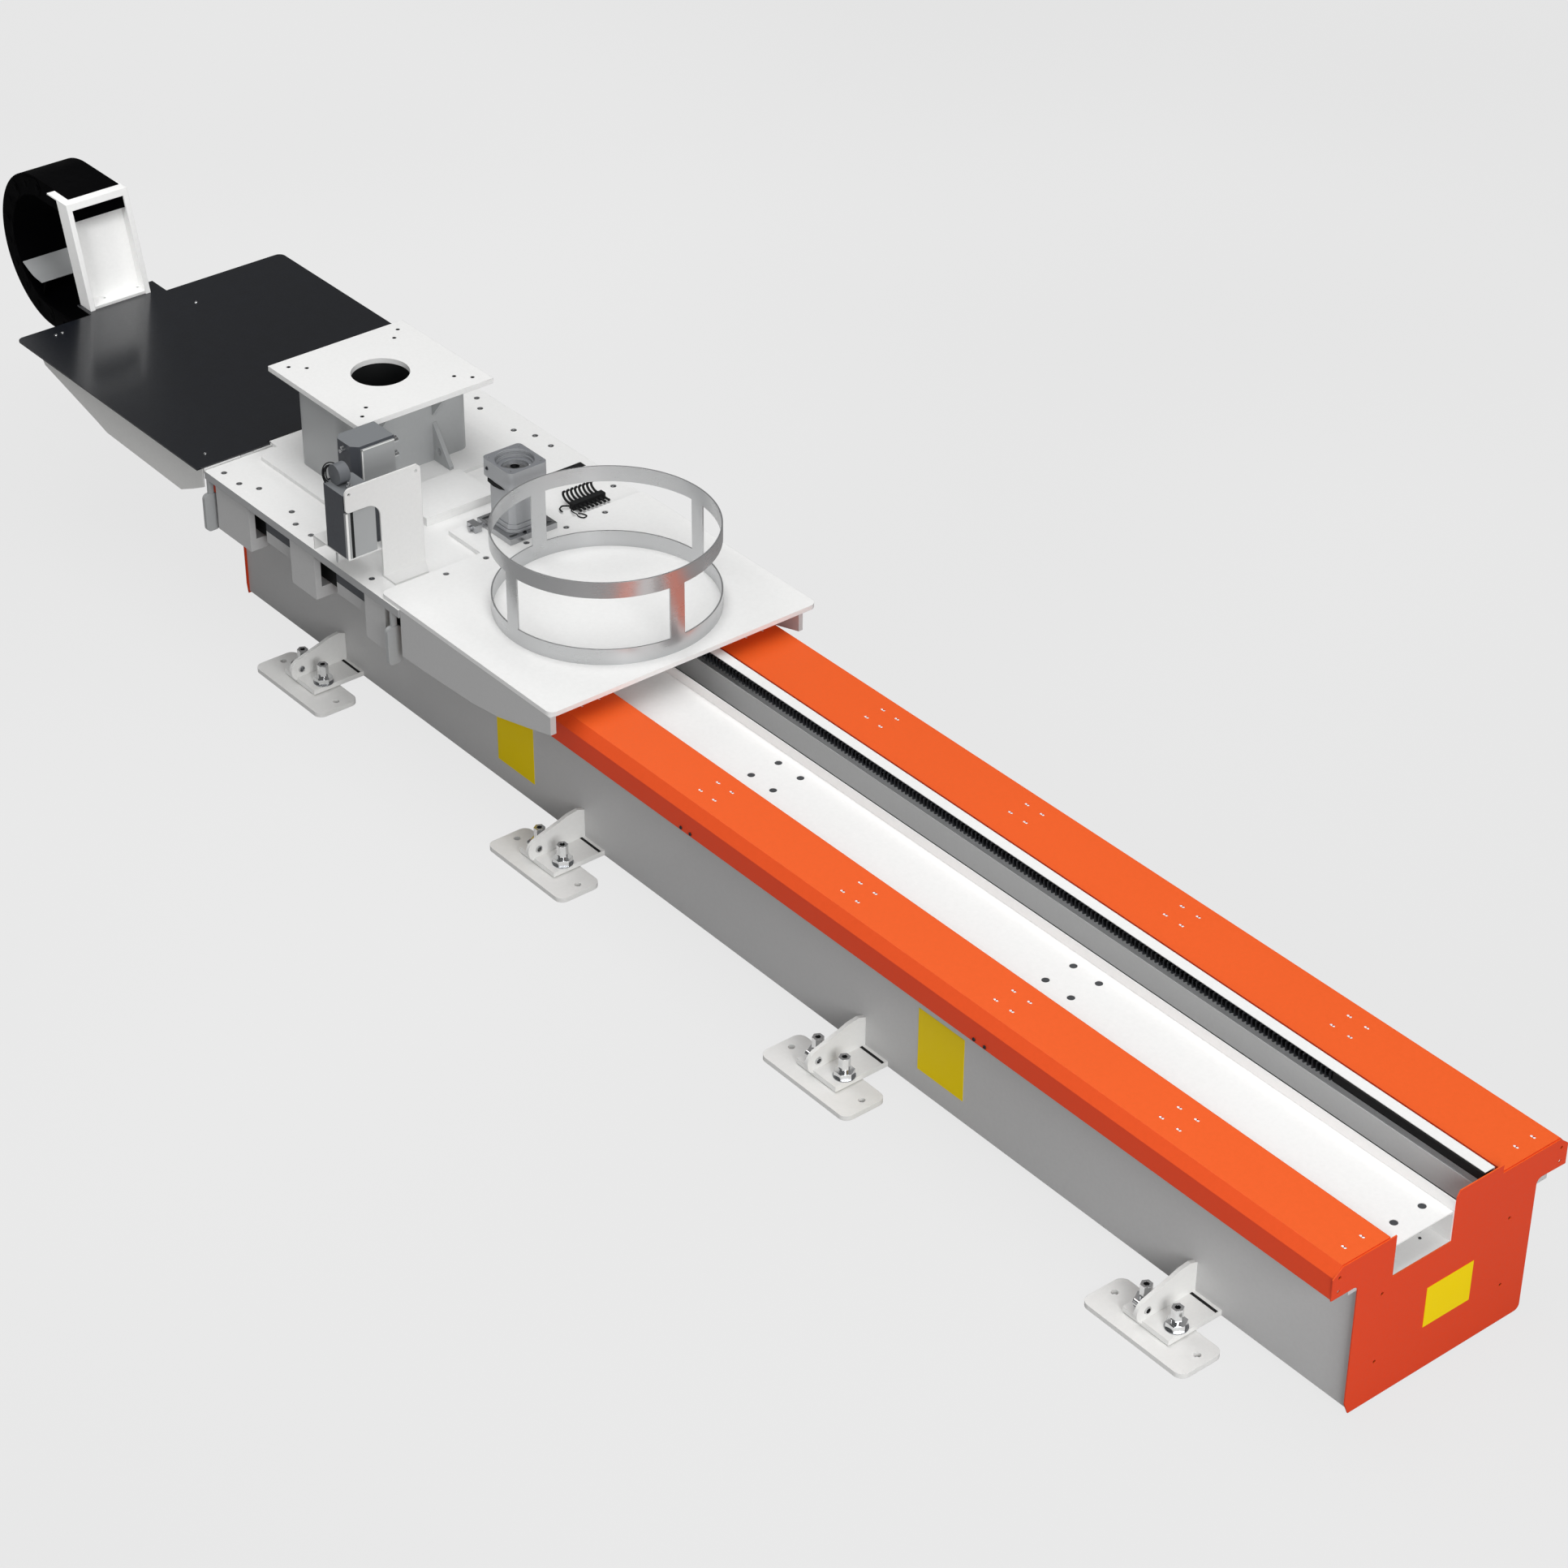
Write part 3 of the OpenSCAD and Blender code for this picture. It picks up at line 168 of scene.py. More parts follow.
def smooth_path(points, steps=6):
    """Curve through points: each span is the Catmull-Rom cubic of its four nearest points."""
    p = np.asarray(points, float)
    p = np.vstack([2 * p[0] - p[1], p, 2 * p[-1] - p[-2]])
    t = np.linspace(0, 1, steps, endpoint=False)[:, None]
    a, b, c, d = (p[i:len(p) - 3 + i, None] for i in range(4))
    spans = 0.5 * (2 * b + (c - a) * t + (2 * a - 5 * b + 4 * c - d) * t ** 2
                   + (3 * b - a - 3 * c + d) * t ** 3)
    return np.vstack([spans.reshape(-1, p.shape[1]), p[-2]])


def slot_outline(half_length, half_width, steps=8):
    """Outline of a slot: two half circles whose centres lie apart along the first axis."""
    angle = np.linspace(-np.pi / 2, np.pi / 2, steps)
    end = np.stack([half_length - half_width + half_width * np.cos(angle), half_width * np.sin(angle)], 1)
    return np.vstack([end, -end])


def mirrored(shapes, axis=Y):
    """The shapes and their mirror images across the middle of the track."""
    flip = np.where(np.arange(3) == axis, -1.0, 1.0)
    return list(shapes) + [(points * flip, [face[::-1] for face in faces]) for points, faces in shapes]


def add_piece(name, shapes, finish, body, edge=0.0):
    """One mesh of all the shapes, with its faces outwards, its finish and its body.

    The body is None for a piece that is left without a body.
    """
    starts = np.cumsum([0] + [len(points) for points, _ in shapes])
    faces = [[i + int(start) for i in face] for (_, part), start in zip(shapes, starts) for face in part]
    mesh = bpy.data.meshes.new(name)
    mesh.from_pydata(np.vstack([points for points, _ in shapes]).tolist(), [], faces)
    built = bmesh.new()
    built.from_mesh(mesh)
    bmesh.ops.recalc_face_normals(built, faces=built.faces)
    built.to_mesh(mesh)
    built.free()
    mesh.materials.append(finish)
    mesh.shade_smooth()
    mesh.set_sharp_from_angle(angle=math.radians(32))
    piece = bpy.data.objects.new(name, mesh)
    bpy.context.scene.collection.objects.link(piece)
    if edge:
        rounding = piece.modifiers.new("Rounded edges", "BEVEL")
        rounding.width, rounding.segments, rounding.limit_method = edge, 2, "ANGLE"
    if body:
        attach(piece, body)
    return piece


# Finishes

def add(tree, kind, links=None, values=None, **settings):
    """Adds one node with its settings, its unlinked values and what is linked to it."""
    node = tree.nodes.new(kind)
    for name, value in settings.items():
        setattr(node, name, value)
    for name, value in (values or {}).items():
        node.inputs[name].default_value = value
    for name, source in (links or {}).items():
        tree.links.new(source, node.inputs[name])
    return node


def empty_tree(holder):
    """The node tree of a new material or world, without its first nodes."""
    holder.use_nodes = True
    holder.node_tree.nodes.clear()
    return holder.node_tree


def new_material(name, **shader_values):
    """A material with only a shader and an output, and the shader's own sockets set."""
    material = bpy.data.materials.new(name)
    tree = empty_tree(material)
    shader = add(tree, "ShaderNodeBsdfPrincipled", values=shader_values)
    add(tree, "ShaderNodeOutputMaterial", {"Surface": shader.outputs["BSDF"]})
    return material, tree, shader


def noise(tree, place, size, detail):
    """Noise over an object's own coordinates, in patches of about the size given."""
    return add(tree, "ShaderNodeTexNoise", {"Vector": place.outputs["Object"]},
               {"Scale": 1 / size, "Detail": detail}).outputs["Fac"]


def ramp(tree, source, start, end, first, last):
    """Maps the values from start to end onto those from first to last."""
    return add(tree, "ShaderNodeMapRange", {"Value": source},
               {"From Min": start, "From Max": end, "To Min": first, "To Max": last}).outputs["Result"]


def scaled(tree, colour, factor):
    """A fixed colour times a factor that comes from the tree."""
    return add(tree, "ShaderNodeVectorMath", {"Scale": factor}, {0: colour[:3]},
               operation="SCALE").outputs["Vector"]


def finish_shader(tree, shader, colour, roughness, normal):
    """Links the colour, roughness and normal of a finish to its shader."""
    for socket, source in (("Base Color", colour), ("Roughness", roughness), ("Normal", normal)):
        tree.links.new(source, shader.inputs[socket])


def shade(colour, factor):
    """The colour with an alpha, made lighter or darker by a factor."""
    return tuple(min(1.0, c * factor) for c in colour[:3]) + (1.0,)


def edge_mask(tree, radius):
    """1 along an object's edges and 0 on its flats: how far a rounded normal leans from the true one."""
    rounded = add(tree, "ShaderNodeBevel", values={"Radius": radius}, samples=4)
    flat = add(tree, "ShaderNodeNewGeometry")
    lean = add(tree, "ShaderNodeVectorMath",
               {0: rounded.outputs["Normal"], 1: flat.outputs["True Normal"]}, operation="DOT_PRODUCT")
    return rounded, ramp(tree, lean.outputs["Value"], 0.98, 0.75, 0.0, 1.0)


def powder_coat(name, colour, roughness=0.42, upright=None, specular=0.5, edge_light=1.06, edge=1.2 * MM):
    """Polyester powder coat, baked: even colour, fine orange peel, and painted light along the edges.

    upright is a second colour for faces that stand upright, which mixes in as the face turns from level:
    painted light and shade by how a face turns.
    The last argument is the factor on the colour along the edges: a painted highlight above 1, painted shade
    below 1.
    """
    material, tree, shader = new_material(name, **{"IOR": 1.5, "Specular IOR Level": specular})
    place = add(tree, "ShaderNodeTexCoord")
    # Batch shading drifts over about 0.7 m, and the mottle is drawn at 9 mm, coarser than the real 2 mm
    drift = noise(tree, place, 700 * MM, 2.0)
    mottle = noise(tree, place, 9 * MM, 3.0)
    both = add(tree, "ShaderNodeMath", {0: drift, 1: mottle}, operation="ADD")
    spread = ramp(tree, both.outputs["Value"], 0.7, 1.3, 0.975, 1.02)
    base = add(tree, "ShaderNodeMix", data_type="RGBA", values={6: shade(colour, 1), 7: shade(colour, 1)})
    if upright:
        # Painted light and shade: the upright colour mixes in as a face turns from level
        level = add(tree, "ShaderNodeSeparateXYZ", {"Vector": place.outputs["Normal"]})
        base.inputs[7].default_value = shade(upright, 1)
        tree.links.new(ramp(tree, level.outputs["Z"], 0.95, 0.35, 0.0, 1.0), base.inputs["Factor"])
    even = add(tree, "ShaderNodeVectorMath", {0: base.outputs[2], "Scale": spread}, operation="SCALE")
    rounded, mask = edge_mask(tree, edge)
    # Painted light along the edges: the colour times the edge factor, lighter above 1, darker below 1
    film = ramp(tree, mask, 0.0, 1.0, 1.0, edge_light)
    thin = add(tree, "ShaderNodeVectorMath", {0: even.outputs["Vector"], "Scale": film}, operation="SCALE")
    gloss = ramp(tree, mottle, 0.3, 0.7, roughness - 0.05, roughness + 0.05)
    peel = add(tree, "ShaderNodeBump", {"Height": mottle, "Normal": rounded.outputs["Normal"]},
               {"Strength": 0.04, "Distance": 0.6 * MM})
    finish_shader(tree, shader, thin.outputs["Vector"], gloss, peel.outputs["Normal"])
    return material


def bare_metal(name, colour, roughness=0.3, grain=None, line=0.6 * MM, centre=None, depth=0.05,
               metal=1.0, streak=1.0):
    """Bare metal with grinding or brushing lines, which streak the gloss.

    grain is the axis that the lines follow. With a centre they run round an upright axis there instead.
    metal below 1 lets a thin haze over the metal scatter light, and streak below 1 makes the lines fainter.
    """
    material, tree, shader = new_material(name, Metallic=metal)
    place = add(tree, "ShaderNodeTexCoord")
    vector = place.outputs["Object"]
    if centre is not None:
        local = add(tree, "ShaderNodeMapping", {"Vector": vector}, {"Location": (-centre[0], -centre[1], 0)})
        parts = add(tree, "ShaderNodeSeparateXYZ", {"Vector": local.outputs["Vector"]})
        angle = add(tree, "ShaderNodeMath", {0: parts.outputs["Y"], 1: parts.outputs["X"]},
                    operation="ARCTAN2")
        lines = add(tree, "ShaderNodeCombineXYZ", {"X": angle.outputs["Value"], "Z": parts.outputs["Z"]})
        vector = lines.outputs["Vector"]
    stretch = [1 / line] * 3
    if grain is not None:
        stretch[grain] = 1 / (160 * MM)
    fit = add(tree, "ShaderNodeMapping", {"Vector": vector}, {"Scale": stretch})
    scratches = add(tree, "ShaderNodeTexNoise", {"Vector": fit.outputs["Vector"]},
                    {"Scale": 1.0, "Detail": 4.0})
    cloud = noise(tree, place, 60 * MM, 2.0)
    tone = ramp(tree, scratches.outputs["Fac"], 0.25, 0.75, 1 - 0.07 * streak, 1 + 0.04 * streak)
    gloss = add(tree, "ShaderNodeMath", {0: scratches.outputs["Fac"], 1: cloud}, operation="ADD")
    change = 0.08 * streak
    rough = ramp(tree, gloss.outputs["Value"], 0.6, 1.4, roughness - change, roughness + change)
    rounded, _ = edge_mask(tree, 0.6 * MM)
    ridges = add(tree, "ShaderNodeBump",
                 {"Height": scratches.outputs["Fac"], "Normal": rounded.outputs["Normal"]},
                 {"Strength": depth, "Distance": 0.3 * MM})
    finish_shader(tree, shader, scaled(tree, colour, tone), rough, ridges.outputs["Normal"])
    return material


def moulded(name, colour, roughness=0.5, texture=2.5 * MM, specular=0.5, dust=1.25):
    """Moulded plastic, rubber or enamel: spark-eroded texture, and a little dust on level faces."""
    material, tree, shader = new_material(name, **{"IOR": 1.49, "Specular IOR Level": specular})
    place = add(tree, "ShaderNodeTexCoord")
    grit = noise(tree, place, texture, 3.0)
    cloud = noise(tree, place, 45 * MM, 3.0)
    side = add(tree, "ShaderNodeSeparateXYZ", {"Vector": place.outputs["Normal"]})
    lying = ramp(tree, side.outputs["Z"], 0.3, 1.0, 0.0, 0.5)
    film = add(tree, "ShaderNodeMath", {0: lying, 1: cloud}, operation="MULTIPLY")
    skin = add(tree, "ShaderNodeMix", {"Factor": film.outputs["Value"]},
               {6: shade(colour, 1), 7: shade(colour, dust)}, data_type="RGBA")
    gloss = ramp(tree, cloud, 0.3, 0.7, roughness - 0.06, roughness + 0.06)
    bump = add(tree, "ShaderNodeBump", {"Height": grit}, {"Strength": 0.08, "Distance": 0.2 * MM})
    finish_shader(tree, shader, skin.outputs[2], gloss, bump.outputs["Normal"])
    return material


# Filled by the first operator for the others
finishes = {}


def colour_setting(name, description, hex_colour):
    """A colour that the panel shows."""
    return FloatVectorProperty(name=name, description=description, subtype="COLOR",
                               default=linear(hex_colour), min=0, max=1)


def power_setting(name, description, watts):
    """A lamp's power that the panel shows."""
    return FloatProperty(name=name, description=description, default=watts, min=0, unit="POWER")


class TrackColours(bpy.types.PropertyGroup):
    """Colours of the paints, plastics and metals."""
    orange: colour_setting("Cover orange", "Top of the sheet covers", "#F46225")
    # Painted shade: the deeper orange of the upright faces
    orange_upright: colour_setting("Upright orange", "Bevels, lips and end plates", "#E94821")
    white: colour_setting("Plate white", "Carriage plates, duct and robot plate", "#F6F6F5")
    steel_grey: colour_setting("Beam grey", "Beam, legs, brackets and support tube", "#CDCDCD")
    pale_grey: colour_setting("Foot grey", "Floor plates, foot brackets and platform skirts", "#F0F0EE")
    carriage_grey: colour_setting("Carriage grey", "Guide plates, column and its gussets", "#B4B6B7")
    platform: colour_setting("Platform blue-black", "Platform behind the main plate", "#0E1118")
    # Painted shade: the darker grey of the boxes' upright faces, and of the curtain bars under the main
    # plate
    box_dark: colour_setting("Box grey", "Upright faces of the lubricator and the junction box", "#4A4D53")
    panel_grey: colour_setting("Panel grey", "Lubricator front and junction box door", "#A9ABAC")
    sign_yellow: colour_setting("Sign yellow", "Bare plates on the walls and the end", "#FFDF00")
    chain_black: colour_setting("Chain black", "Links of the energy chain", "#010102")
    rubber_black: colour_setting("Rubber black", "Curtains, seals, hoses and distributor", "#151617")
    stainless: colour_setting("Stainless", "Drum ring", "#C9CACB")
    machined: colour_setting("Machined steel", "Rails, rack bed, rail blocks and reducer flange", "#B9BABC")
    dark_steel: colour_setting("Dark steel", "Pinion", "#6F7276")
    # Painted light: the reducer's upright faces are lighter than its level faces
    cast_alloy: colour_setting("Cast alloy", "Upright faces of the reducer", "#B6B8BB")
    bright_zinc: colour_setting("Bright zinc", "Screws, clips, hub and shaft", "#D9DADB")


class TrackSizes(bpy.types.PropertyGroup):
    """Sizes of the small fittings."""
    chain_pitch: FloatProperty(name="Chain pitch", description="Length of one link of the energy chain",
                               default=68 * MM, min=40 * MM, max=110 * MM, unit="LENGTH")
    side_plate: FloatProperty(name="Link side plate", description="Thickness of a chain link's side plate",
                              default=5 * MM, min=3 * MM, max=8 * MM, unit="LENGTH")
    upper_ribs: IntProperty(name="Upper run ribs", description="Ribs of the chain's upper run",
                            default=44, min=8, max=80)
    small_screw: FloatProperty(name="Small screw", description="Radius of the small pan-head screws",
                               default=4.5 * MM, min=2 * MM, max=8 * MM, unit="LENGTH")


class TrackStudio(bpy.types.PropertyGroup):
    """Camera, lamps and floor."""
    lens: FloatProperty(name="Lens", description="Focal length that gives the photograph's view",
                        default=89.76, min=20, max=200, unit="CAMERA")
    overhead: power_setting("Overhead lamp", "Power of the large lamp above the track", 181)
    end_lamp: power_setting("End lamp", "Power of the lamp that faces the near end", 270)
    front_lamp: power_setting("Front lamp", "Power of the low lamp on the front side", 22)
    sky: FloatProperty(name="Fill", description="Strength of the even light from all round",
                       default=0.24, min=0, max=2)
    floor: colour_setting("Floor", "Pale grey of the floor", "#F3F3F3")
    far_lamp: power_setting("Far lamp", "Power of the small lamp past the far end", 7)
    bracket_lamp: power_setting("Bracket lamp", "Power of the tow bracket's lamp", 0.5)


NODE_FINISHES = {
    "orange": ["front_cover", "back_cover", "near_end_plate", "far_end_plate"],
    "white": ["duct_channel", "duct_lid", "rack_cover_strip", "ring_plate", "pedestal_base", "robot_plate",
              "tow_bracket"],
    # Painted shade greys the main plate's upright edges
    "white_grey_edge": ["main_plate"],
    "steel_grey": ["beam", "cover_brackets", "rack_support", "rail_end_stops", "platform_frame",
                   "ring_skirts", "front_legs", "back_legs"],
    "pale_grey": ["foot_brackets", "floor_plates", "platform_skirts"],
    "carriage_grey": ["guide_posts", "pedestal_column", "pedestal_gussets"],
    "platform": ["platform"],
    # The curtain bars' dark grey is painted shadow under the main plate's overhang
    "box_dark": ["curtain_bars", "lubricator_body", "junction_box"],
    "cap_grey": ["lubricator_cap"],
    "panel_grey": ["lubricator_front", "junction_panel"],
    "ring_steel": ["drum_ring"],
    "sheet_steel": ["sheet_bracket"],
    "machined": ["rack_bed", "reducer_flange", "reducer_adjuster", "front_rail", "back_rail", "rail_blocks"],
    "dark_steel": ["pinion"],
    "black_oxide": ["rack"],
    "chrome": ["levelling_screws", "levelling_nuts"],
    "cast_alloy": ["reducer_body", "reducer_head"],
    "bright_zinc": ["cover_screws", "carriage_bolts", "input_hub", "pinion_shaft", "chrome_clips"],
    "rubber": ["stop_buffers", "block_seals", "dust_curtains", "distributor"],
    "yellow": ["sign_plates"],
    "chain": ["chain_end", "chain_bend", "chain_lower_run"],
}


class RAILTRACK_OT_finishes(bpy.types.Operator):
    """Makes the finishes and gives every CAD node its own"""
    bl_idname = "railtrack.finishes"
    bl_label = "Finish the CAD nodes"

    def execute(self, context):
        c = context.scene.track_colours
        finishes.update(
            # Satin sheet-metal coat: strong flat colour with little gloss, painted shade that deepens the
            # upright faces, and a painted highlight along the edges
            orange=powder_coat("Orange_powder_coat", c.orange, 0.45, c.orange_upright, 0.25, 1.12),
            # Fine-texture coat on thick plate: near white, with edges that catch the light, under a faint
            # painted shade along them
            white=powder_coat("White_powder_coat", c.white, 0.38, None, 0.4, 0.94),
            # The same coat, with painted shade that greys the plate's upright edges
            white_grey_edge=powder_coat("White_coat_grey_edges", c.white, 0.38, linear("#B4B5B6"), 0.4, 1.0),
            # Coat over welded plate: even mid grey, with a faint painted highlight along the edges
            steel_grey=powder_coat("Grey_powder_coat", c.steel_grey, 0.42, None, 0.4),
            # The same coat in a paler grey, on the feet
            pale_grey=powder_coat("Pale_grey_powder_coat", c.pale_grey, 0.4, None, 0.4),
            # The same coat on the carriage's folded and welded parts
            carriage_grey=powder_coat("Carriage_grey_powder_coat", c.carriage_grey, 0.4, None, 0.4),
            # Two-part lacquer over dark sheet: blurred reflections of what stands on it
            platform=lacquer("Blue_black_lacquer", c.platform),
            # Enamel on aluminium housings: painted shade makes the upright faces darker than the level ones
            box_dark=powder_coat("Dark_grey_enamel", linear("#7E8184"), 0.42, c.box_dark, 0.4, 1.0),
            panel_grey=moulded("Grey_ABS_cover", c.panel_grey, 0.42, 1.8 * MM, 0.5, 1.1),
            # Moulded cap: smooth mid grey
            cap_grey=moulded("Mid_grey_cap", linear("#6A6D71"), 0.42, 1.8 * MM, 0.5, 1.1),
            # Stainless strip, brushed before it was rolled: lines run round the ring
            ring_steel=bare_metal("Brushed_stainless_ring", c.stainless, 0.28, X, 0.9 * MM,
                                  middle("drum_ring"), 0.0, 0.78, 0.15),
            # Satin anodised sheet: pale and soft, without lines
            sheet_steel=powder_coat("Satin_anodised_sheet", linear("#E9E9E8"), 0.4, None, 0.5, 1.0),
            # Ground steel: fine lines along the track
            machined=bare_metal("Ground_steel", c.machined, 0.32, X, 0.8 * MM),
            # Phosphated and oiled steel: dark with a soft sheen
            dark_steel=bare_metal("Phosphated_steel", c.dark_steel, 0.36, None, 3 * MM, None, 0.03),
            # Lacquered cast aluminium: satin grey, with painted shade that darkens its level faces
            cast_alloy=powder_coat("Lacquered_aluminium", linear("#7E8084"), 0.36, c.cast_alloy, 0.5, 1.0),
            # Zinc plate: bright, with hard small highlights
            bright_zinc=bare_metal("Bright_zinc_plate", c.bright_zinc, 0.2, None, 4 * MM, None, 0.02),
            # Extruded nitrile rubber: matt black
            rubber=moulded("Nitrile_rubber", c.rubber_black, 0.7, 1.5 * MM, 0.3),
            # The same rubber in dark grey, for the lid's plugs
            plug_grey=moulded("Grey_rubber", linear("#45474A"), 0.6, 1.5 * MM, 0.3, 1.0),
            # Enamelled aluminium sheet: flat yellow with a slight gloss
            yellow=moulded("Yellow_enamel", c.sign_yellow, 0.45, 6 * MM, 0.15, 1.0),
            # Glass-filled polyamide: deep black, smooth
            chain=moulded("Black_polyamide", c.chain_black, 0.6, 2 * MM, 0.03, 1.0),
            # Chrome plate: near mirror, so it shows the dark room between the lamps
            chrome=bare_metal("Chrome_plate", linear("#E4E5E6"), 0.12, None, 5 * MM, None, 0.01),
            # Moulded nylon: white, with a soft sheen
            nylon=moulded("White_nylon", linear("#F8F8F6"), 0.4, 3 * MM, 0.4, 1.0),
            # Blacked steel: dark, with a dull sheen
            black_oxide=bare_metal("Black_oxide_steel", linear("#4A4C50"), 0.3, None, 3 * MM, None, 0.03),
            # Zinc plate with its first grey bloom
            zinc_grey=bare_metal("Dull_zinc_plate", linear("#A8AAAD"), 0.26, None, 4 * MM, None, 0.02),
        )
        for finish, members in NODE_FINISHES.items():
            for node in members:
                paint_node(node, finishes[finish])
        left = set(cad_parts) - {n for members in NODE_FINISHES.values() for n in members}
        if left:
            raise RuntimeError(f"nodes without a finish: {sorted(left)}")
        return {"FINISHED"}


def paint_node(node, finish):
    """Puts one finish in all of a CAD node's material slots."""
    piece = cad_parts[node]
    if not piece.material_slots:
        piece.data.materials.append(finish)
    for holder in piece.material_slots:
        holder.material = finish


def lacquer(name, colour):
    """Two-part lacquer, sprayed: dark base under a glossy film with faint waves and dust."""
    material, tree, shader = new_material(name, **{
        "IOR": 1.5, "Specular IOR Level": 0.2, "Coat Weight": 1.0, "Coat Roughness": 0.17, "Coat IOR": 1.5})
    place = add(tree, "ShaderNodeTexCoord")
    # Spray waves are about 40 mm long
    wave = noise(tree, place, 40 * MM, 2.0)
    dust = noise(tree, place, 6 * MM, 4.0)
    base = scaled(tree, colour, ramp(tree, wave, 0.3, 0.7, 0.9, 1.15))
    bump = add(tree, "ShaderNodeBump", {"Height": wave}, {"Strength": 0.03, "Distance": 0.5 * MM})
    finish_shader(tree, shader, base, ramp(tree, dust, 0.3, 0.7, 0.3, 0.38), bump.outputs["Normal"])
    return material


# Places of what repeats along the track, measured back from the beam's near end
first_slots, slots_pitch = 520 * MM, 502 * MM
slot_groups = near_x - first_slots - slots_pitch * np.arange(7)
slot_half_pitch = 25 * MM
beam_far_x = low("beam")[X]
rail_y = -middle("front_rail")[Y]
cover_top = high("front_cover")[Z]
lid_top = high("duct_lid")[Z]
first_holes, holes_pitch = 1024 * MM, 1001 * MM
lid_groups = near_x - first_holes - holes_pitch * np.arange(3)
lid_hole_half = 40 * MM
lid_centre_y = -72 * MM
foot_places = near_x - np.array([426, 1481, 2526, 3550]) * MM
# Distances of a foot's screws and of its gusset's eye from the track's middle, and the eye's height
screw_y, screw_half_pitch = 352 * MM, 46 * MM
eye_y, eye_z = 380 * MM, 48 * MM


def corners(x, y, half_x, half_y):
    """The four corners of a pattern round a centre."""
    return [(x + a * half_x, y + b * half_y) for a in (-1, 1) for b in (-1, 1)]


class RAILTRACK_OT_slot_caps(bpy.types.Operator):
    """A pair of white nylon heads in each slot of both covers"""
    bl_idname = "railtrack.slot_caps"
    bl_label = "Cover slot caps"

    def execute(self, context):
        head = np.array([(2.9, -3), (2.9, -0.7), (2.2, -0.4), (0.3, -0.4)]) * MM
        end_slots = 36 * MM
        places = [spot for x in slot_groups for spot in corners(x, rail_y, slot_half_pitch, slot_half_pitch)]
        places += [(x, rail_y + b * slot_half_pitch)
                   for x in (near_x - end_slots, beam_far_x + end_slots) for b in (-1, 1)]
        caps = [turned(head, (x + side * 3.9 * MM, y, cover_top), sides=14)
                for x, y in places for side in (-1, 1)]
        piece = add_piece("slot_caps", mirrored(caps), finishes["nylon"], TRACK)
        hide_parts("cover_screws")
        return {"FINISHED"}


class RAILTRACK_OT_lid_plugs(bpy.types.Operator):
    """Dark grey rubber plugs in the holes of the duct's lid"""
    bl_idname = "railtrack.lid_plugs"
    bl_label = "Lid plugs"

    def execute(self, context):
        places = [spot for x in lid_groups
                  for spot in corners(x, lid_centre_y, lid_hole_half, lid_hole_half)]
        end_holes = 50 * MM
        places += [(x, lid_centre_y + b * lid_hole_half)
                   for x in (near_x - end_holes, beam_far_x + end_holes) for b in (-1, 1)]
        profile = np.array([(8.9, -3), (8.9, -0.9), (8.0, -0.4), (4.0, -0.8), (1.0, -0.9)]) * MM
        plugs = [turned(profile, (x, y, lid_top), sides=20) for x, y in places]
        add_piece("lid_plugs", plugs, finishes["plug_grey"], TRACK)
        return {"FINISHED"}


# The energy chain: centre and radius of the bend, and the height of its links
bend_centre = np.array([high("chain_bend")[X], middle("chain_bend")[Z]])
bend_radius = (high("chain_bend")[Z] - low("chain_bend")[Z]) / 2
link_height = high("chain_lower_run")[Z] - low("chain_lower_run")[Z]
chain_front, chain_back = low("chain_bend")[Y], high("chain_bend")[Y]


def chain_joints(pitch):
    """Pins of the chain as (X, Z): evenly along the lower run, then evenly round the bend's half circle."""
    middle_radius = bend_radius - link_height / 2
    start_x = high("chain_lower_run")[X]
    run_links = round((start_x - bend_centre[0]) / pitch)
    bend_links = round(math.pi * middle_radius / pitch)
    run_x = np.linspace(start_x, bend_centre[0], run_links + 1)
    run = np.stack([run_x, np.full_like(run_x, bend_centre[1] - middle_radius)], 1)
    turn = -np.pi / 2 - np.linspace(0, np.pi, bend_links + 1)[1:]
    bend = bend_centre + middle_radius * np.stack([np.cos(turn), np.sin(turn)], 1)
    return np.vstack([run, bend])


def in_link(shape, start, end):
    """A shape drawn along X about a link's middle, turned and shifted to lie between two pins."""
    along = (end - start) / np.linalg.norm(end - start)
    points, faces = shape
    place = (start + end) / 2
    turned_points = points.copy()
    turned_points[:, X] = place[0] + points[:, X] * along[0] - points[:, Z] * along[1]
    turned_points[:, Z] = place[1] + points[:, X] * along[1] + points[:, Z] * along[0]
    return turned_points, faces


def link_sides(length, plate, proud):
    """Side plates of one link about its middle, with round ends, and the pins that they turn on."""
    half = link_height / 2 - 5 * MM
    outline = slot_outline(length / 2 + 0.6 * half, half, 12)
    shapes = []
    for face, outward in ((chain_front, -1), (chain_back, 1)):
        shapes.append(prism(outline, Y, *sorted([face + outward * proud, face - outward * plate])))
        pin = np.array([(9, 0), (9, 1), (7, 1.5), (2, 1.5)]) * MM
        pin[:, 1] = outward * (pin[:, 1] + proud)
        shapes.append(turned(pin, (length / 2, face, 0), axis=Y, sides=14))
    return shapes


class RAILTRACK_OT_chain_links(bpy.types.Operator):
    """Side plates and pins of the energy chain's links, along its lower run and its bend"""
    bl_idname = "railtrack.chain_links"
    bl_label = "Chain links"

    def execute(self, context):
        sizes = context.scene.track_sizes
        pins = chain_joints(sizes.chain_pitch)
        shapes = []
        for i, (start, end) in enumerate(zip(pins[:-1], pins[1:])):
            link = link_sides(np.linalg.norm(end - start), sizes.side_plate, (0.4 + 0.7 * (i % 2)) * MM)
            shapes += [in_link(shape, start, end) for shape in link]
        add_piece("chain_links", shapes, finishes["chain"], CHAIN)
        return {"FINISHED"}


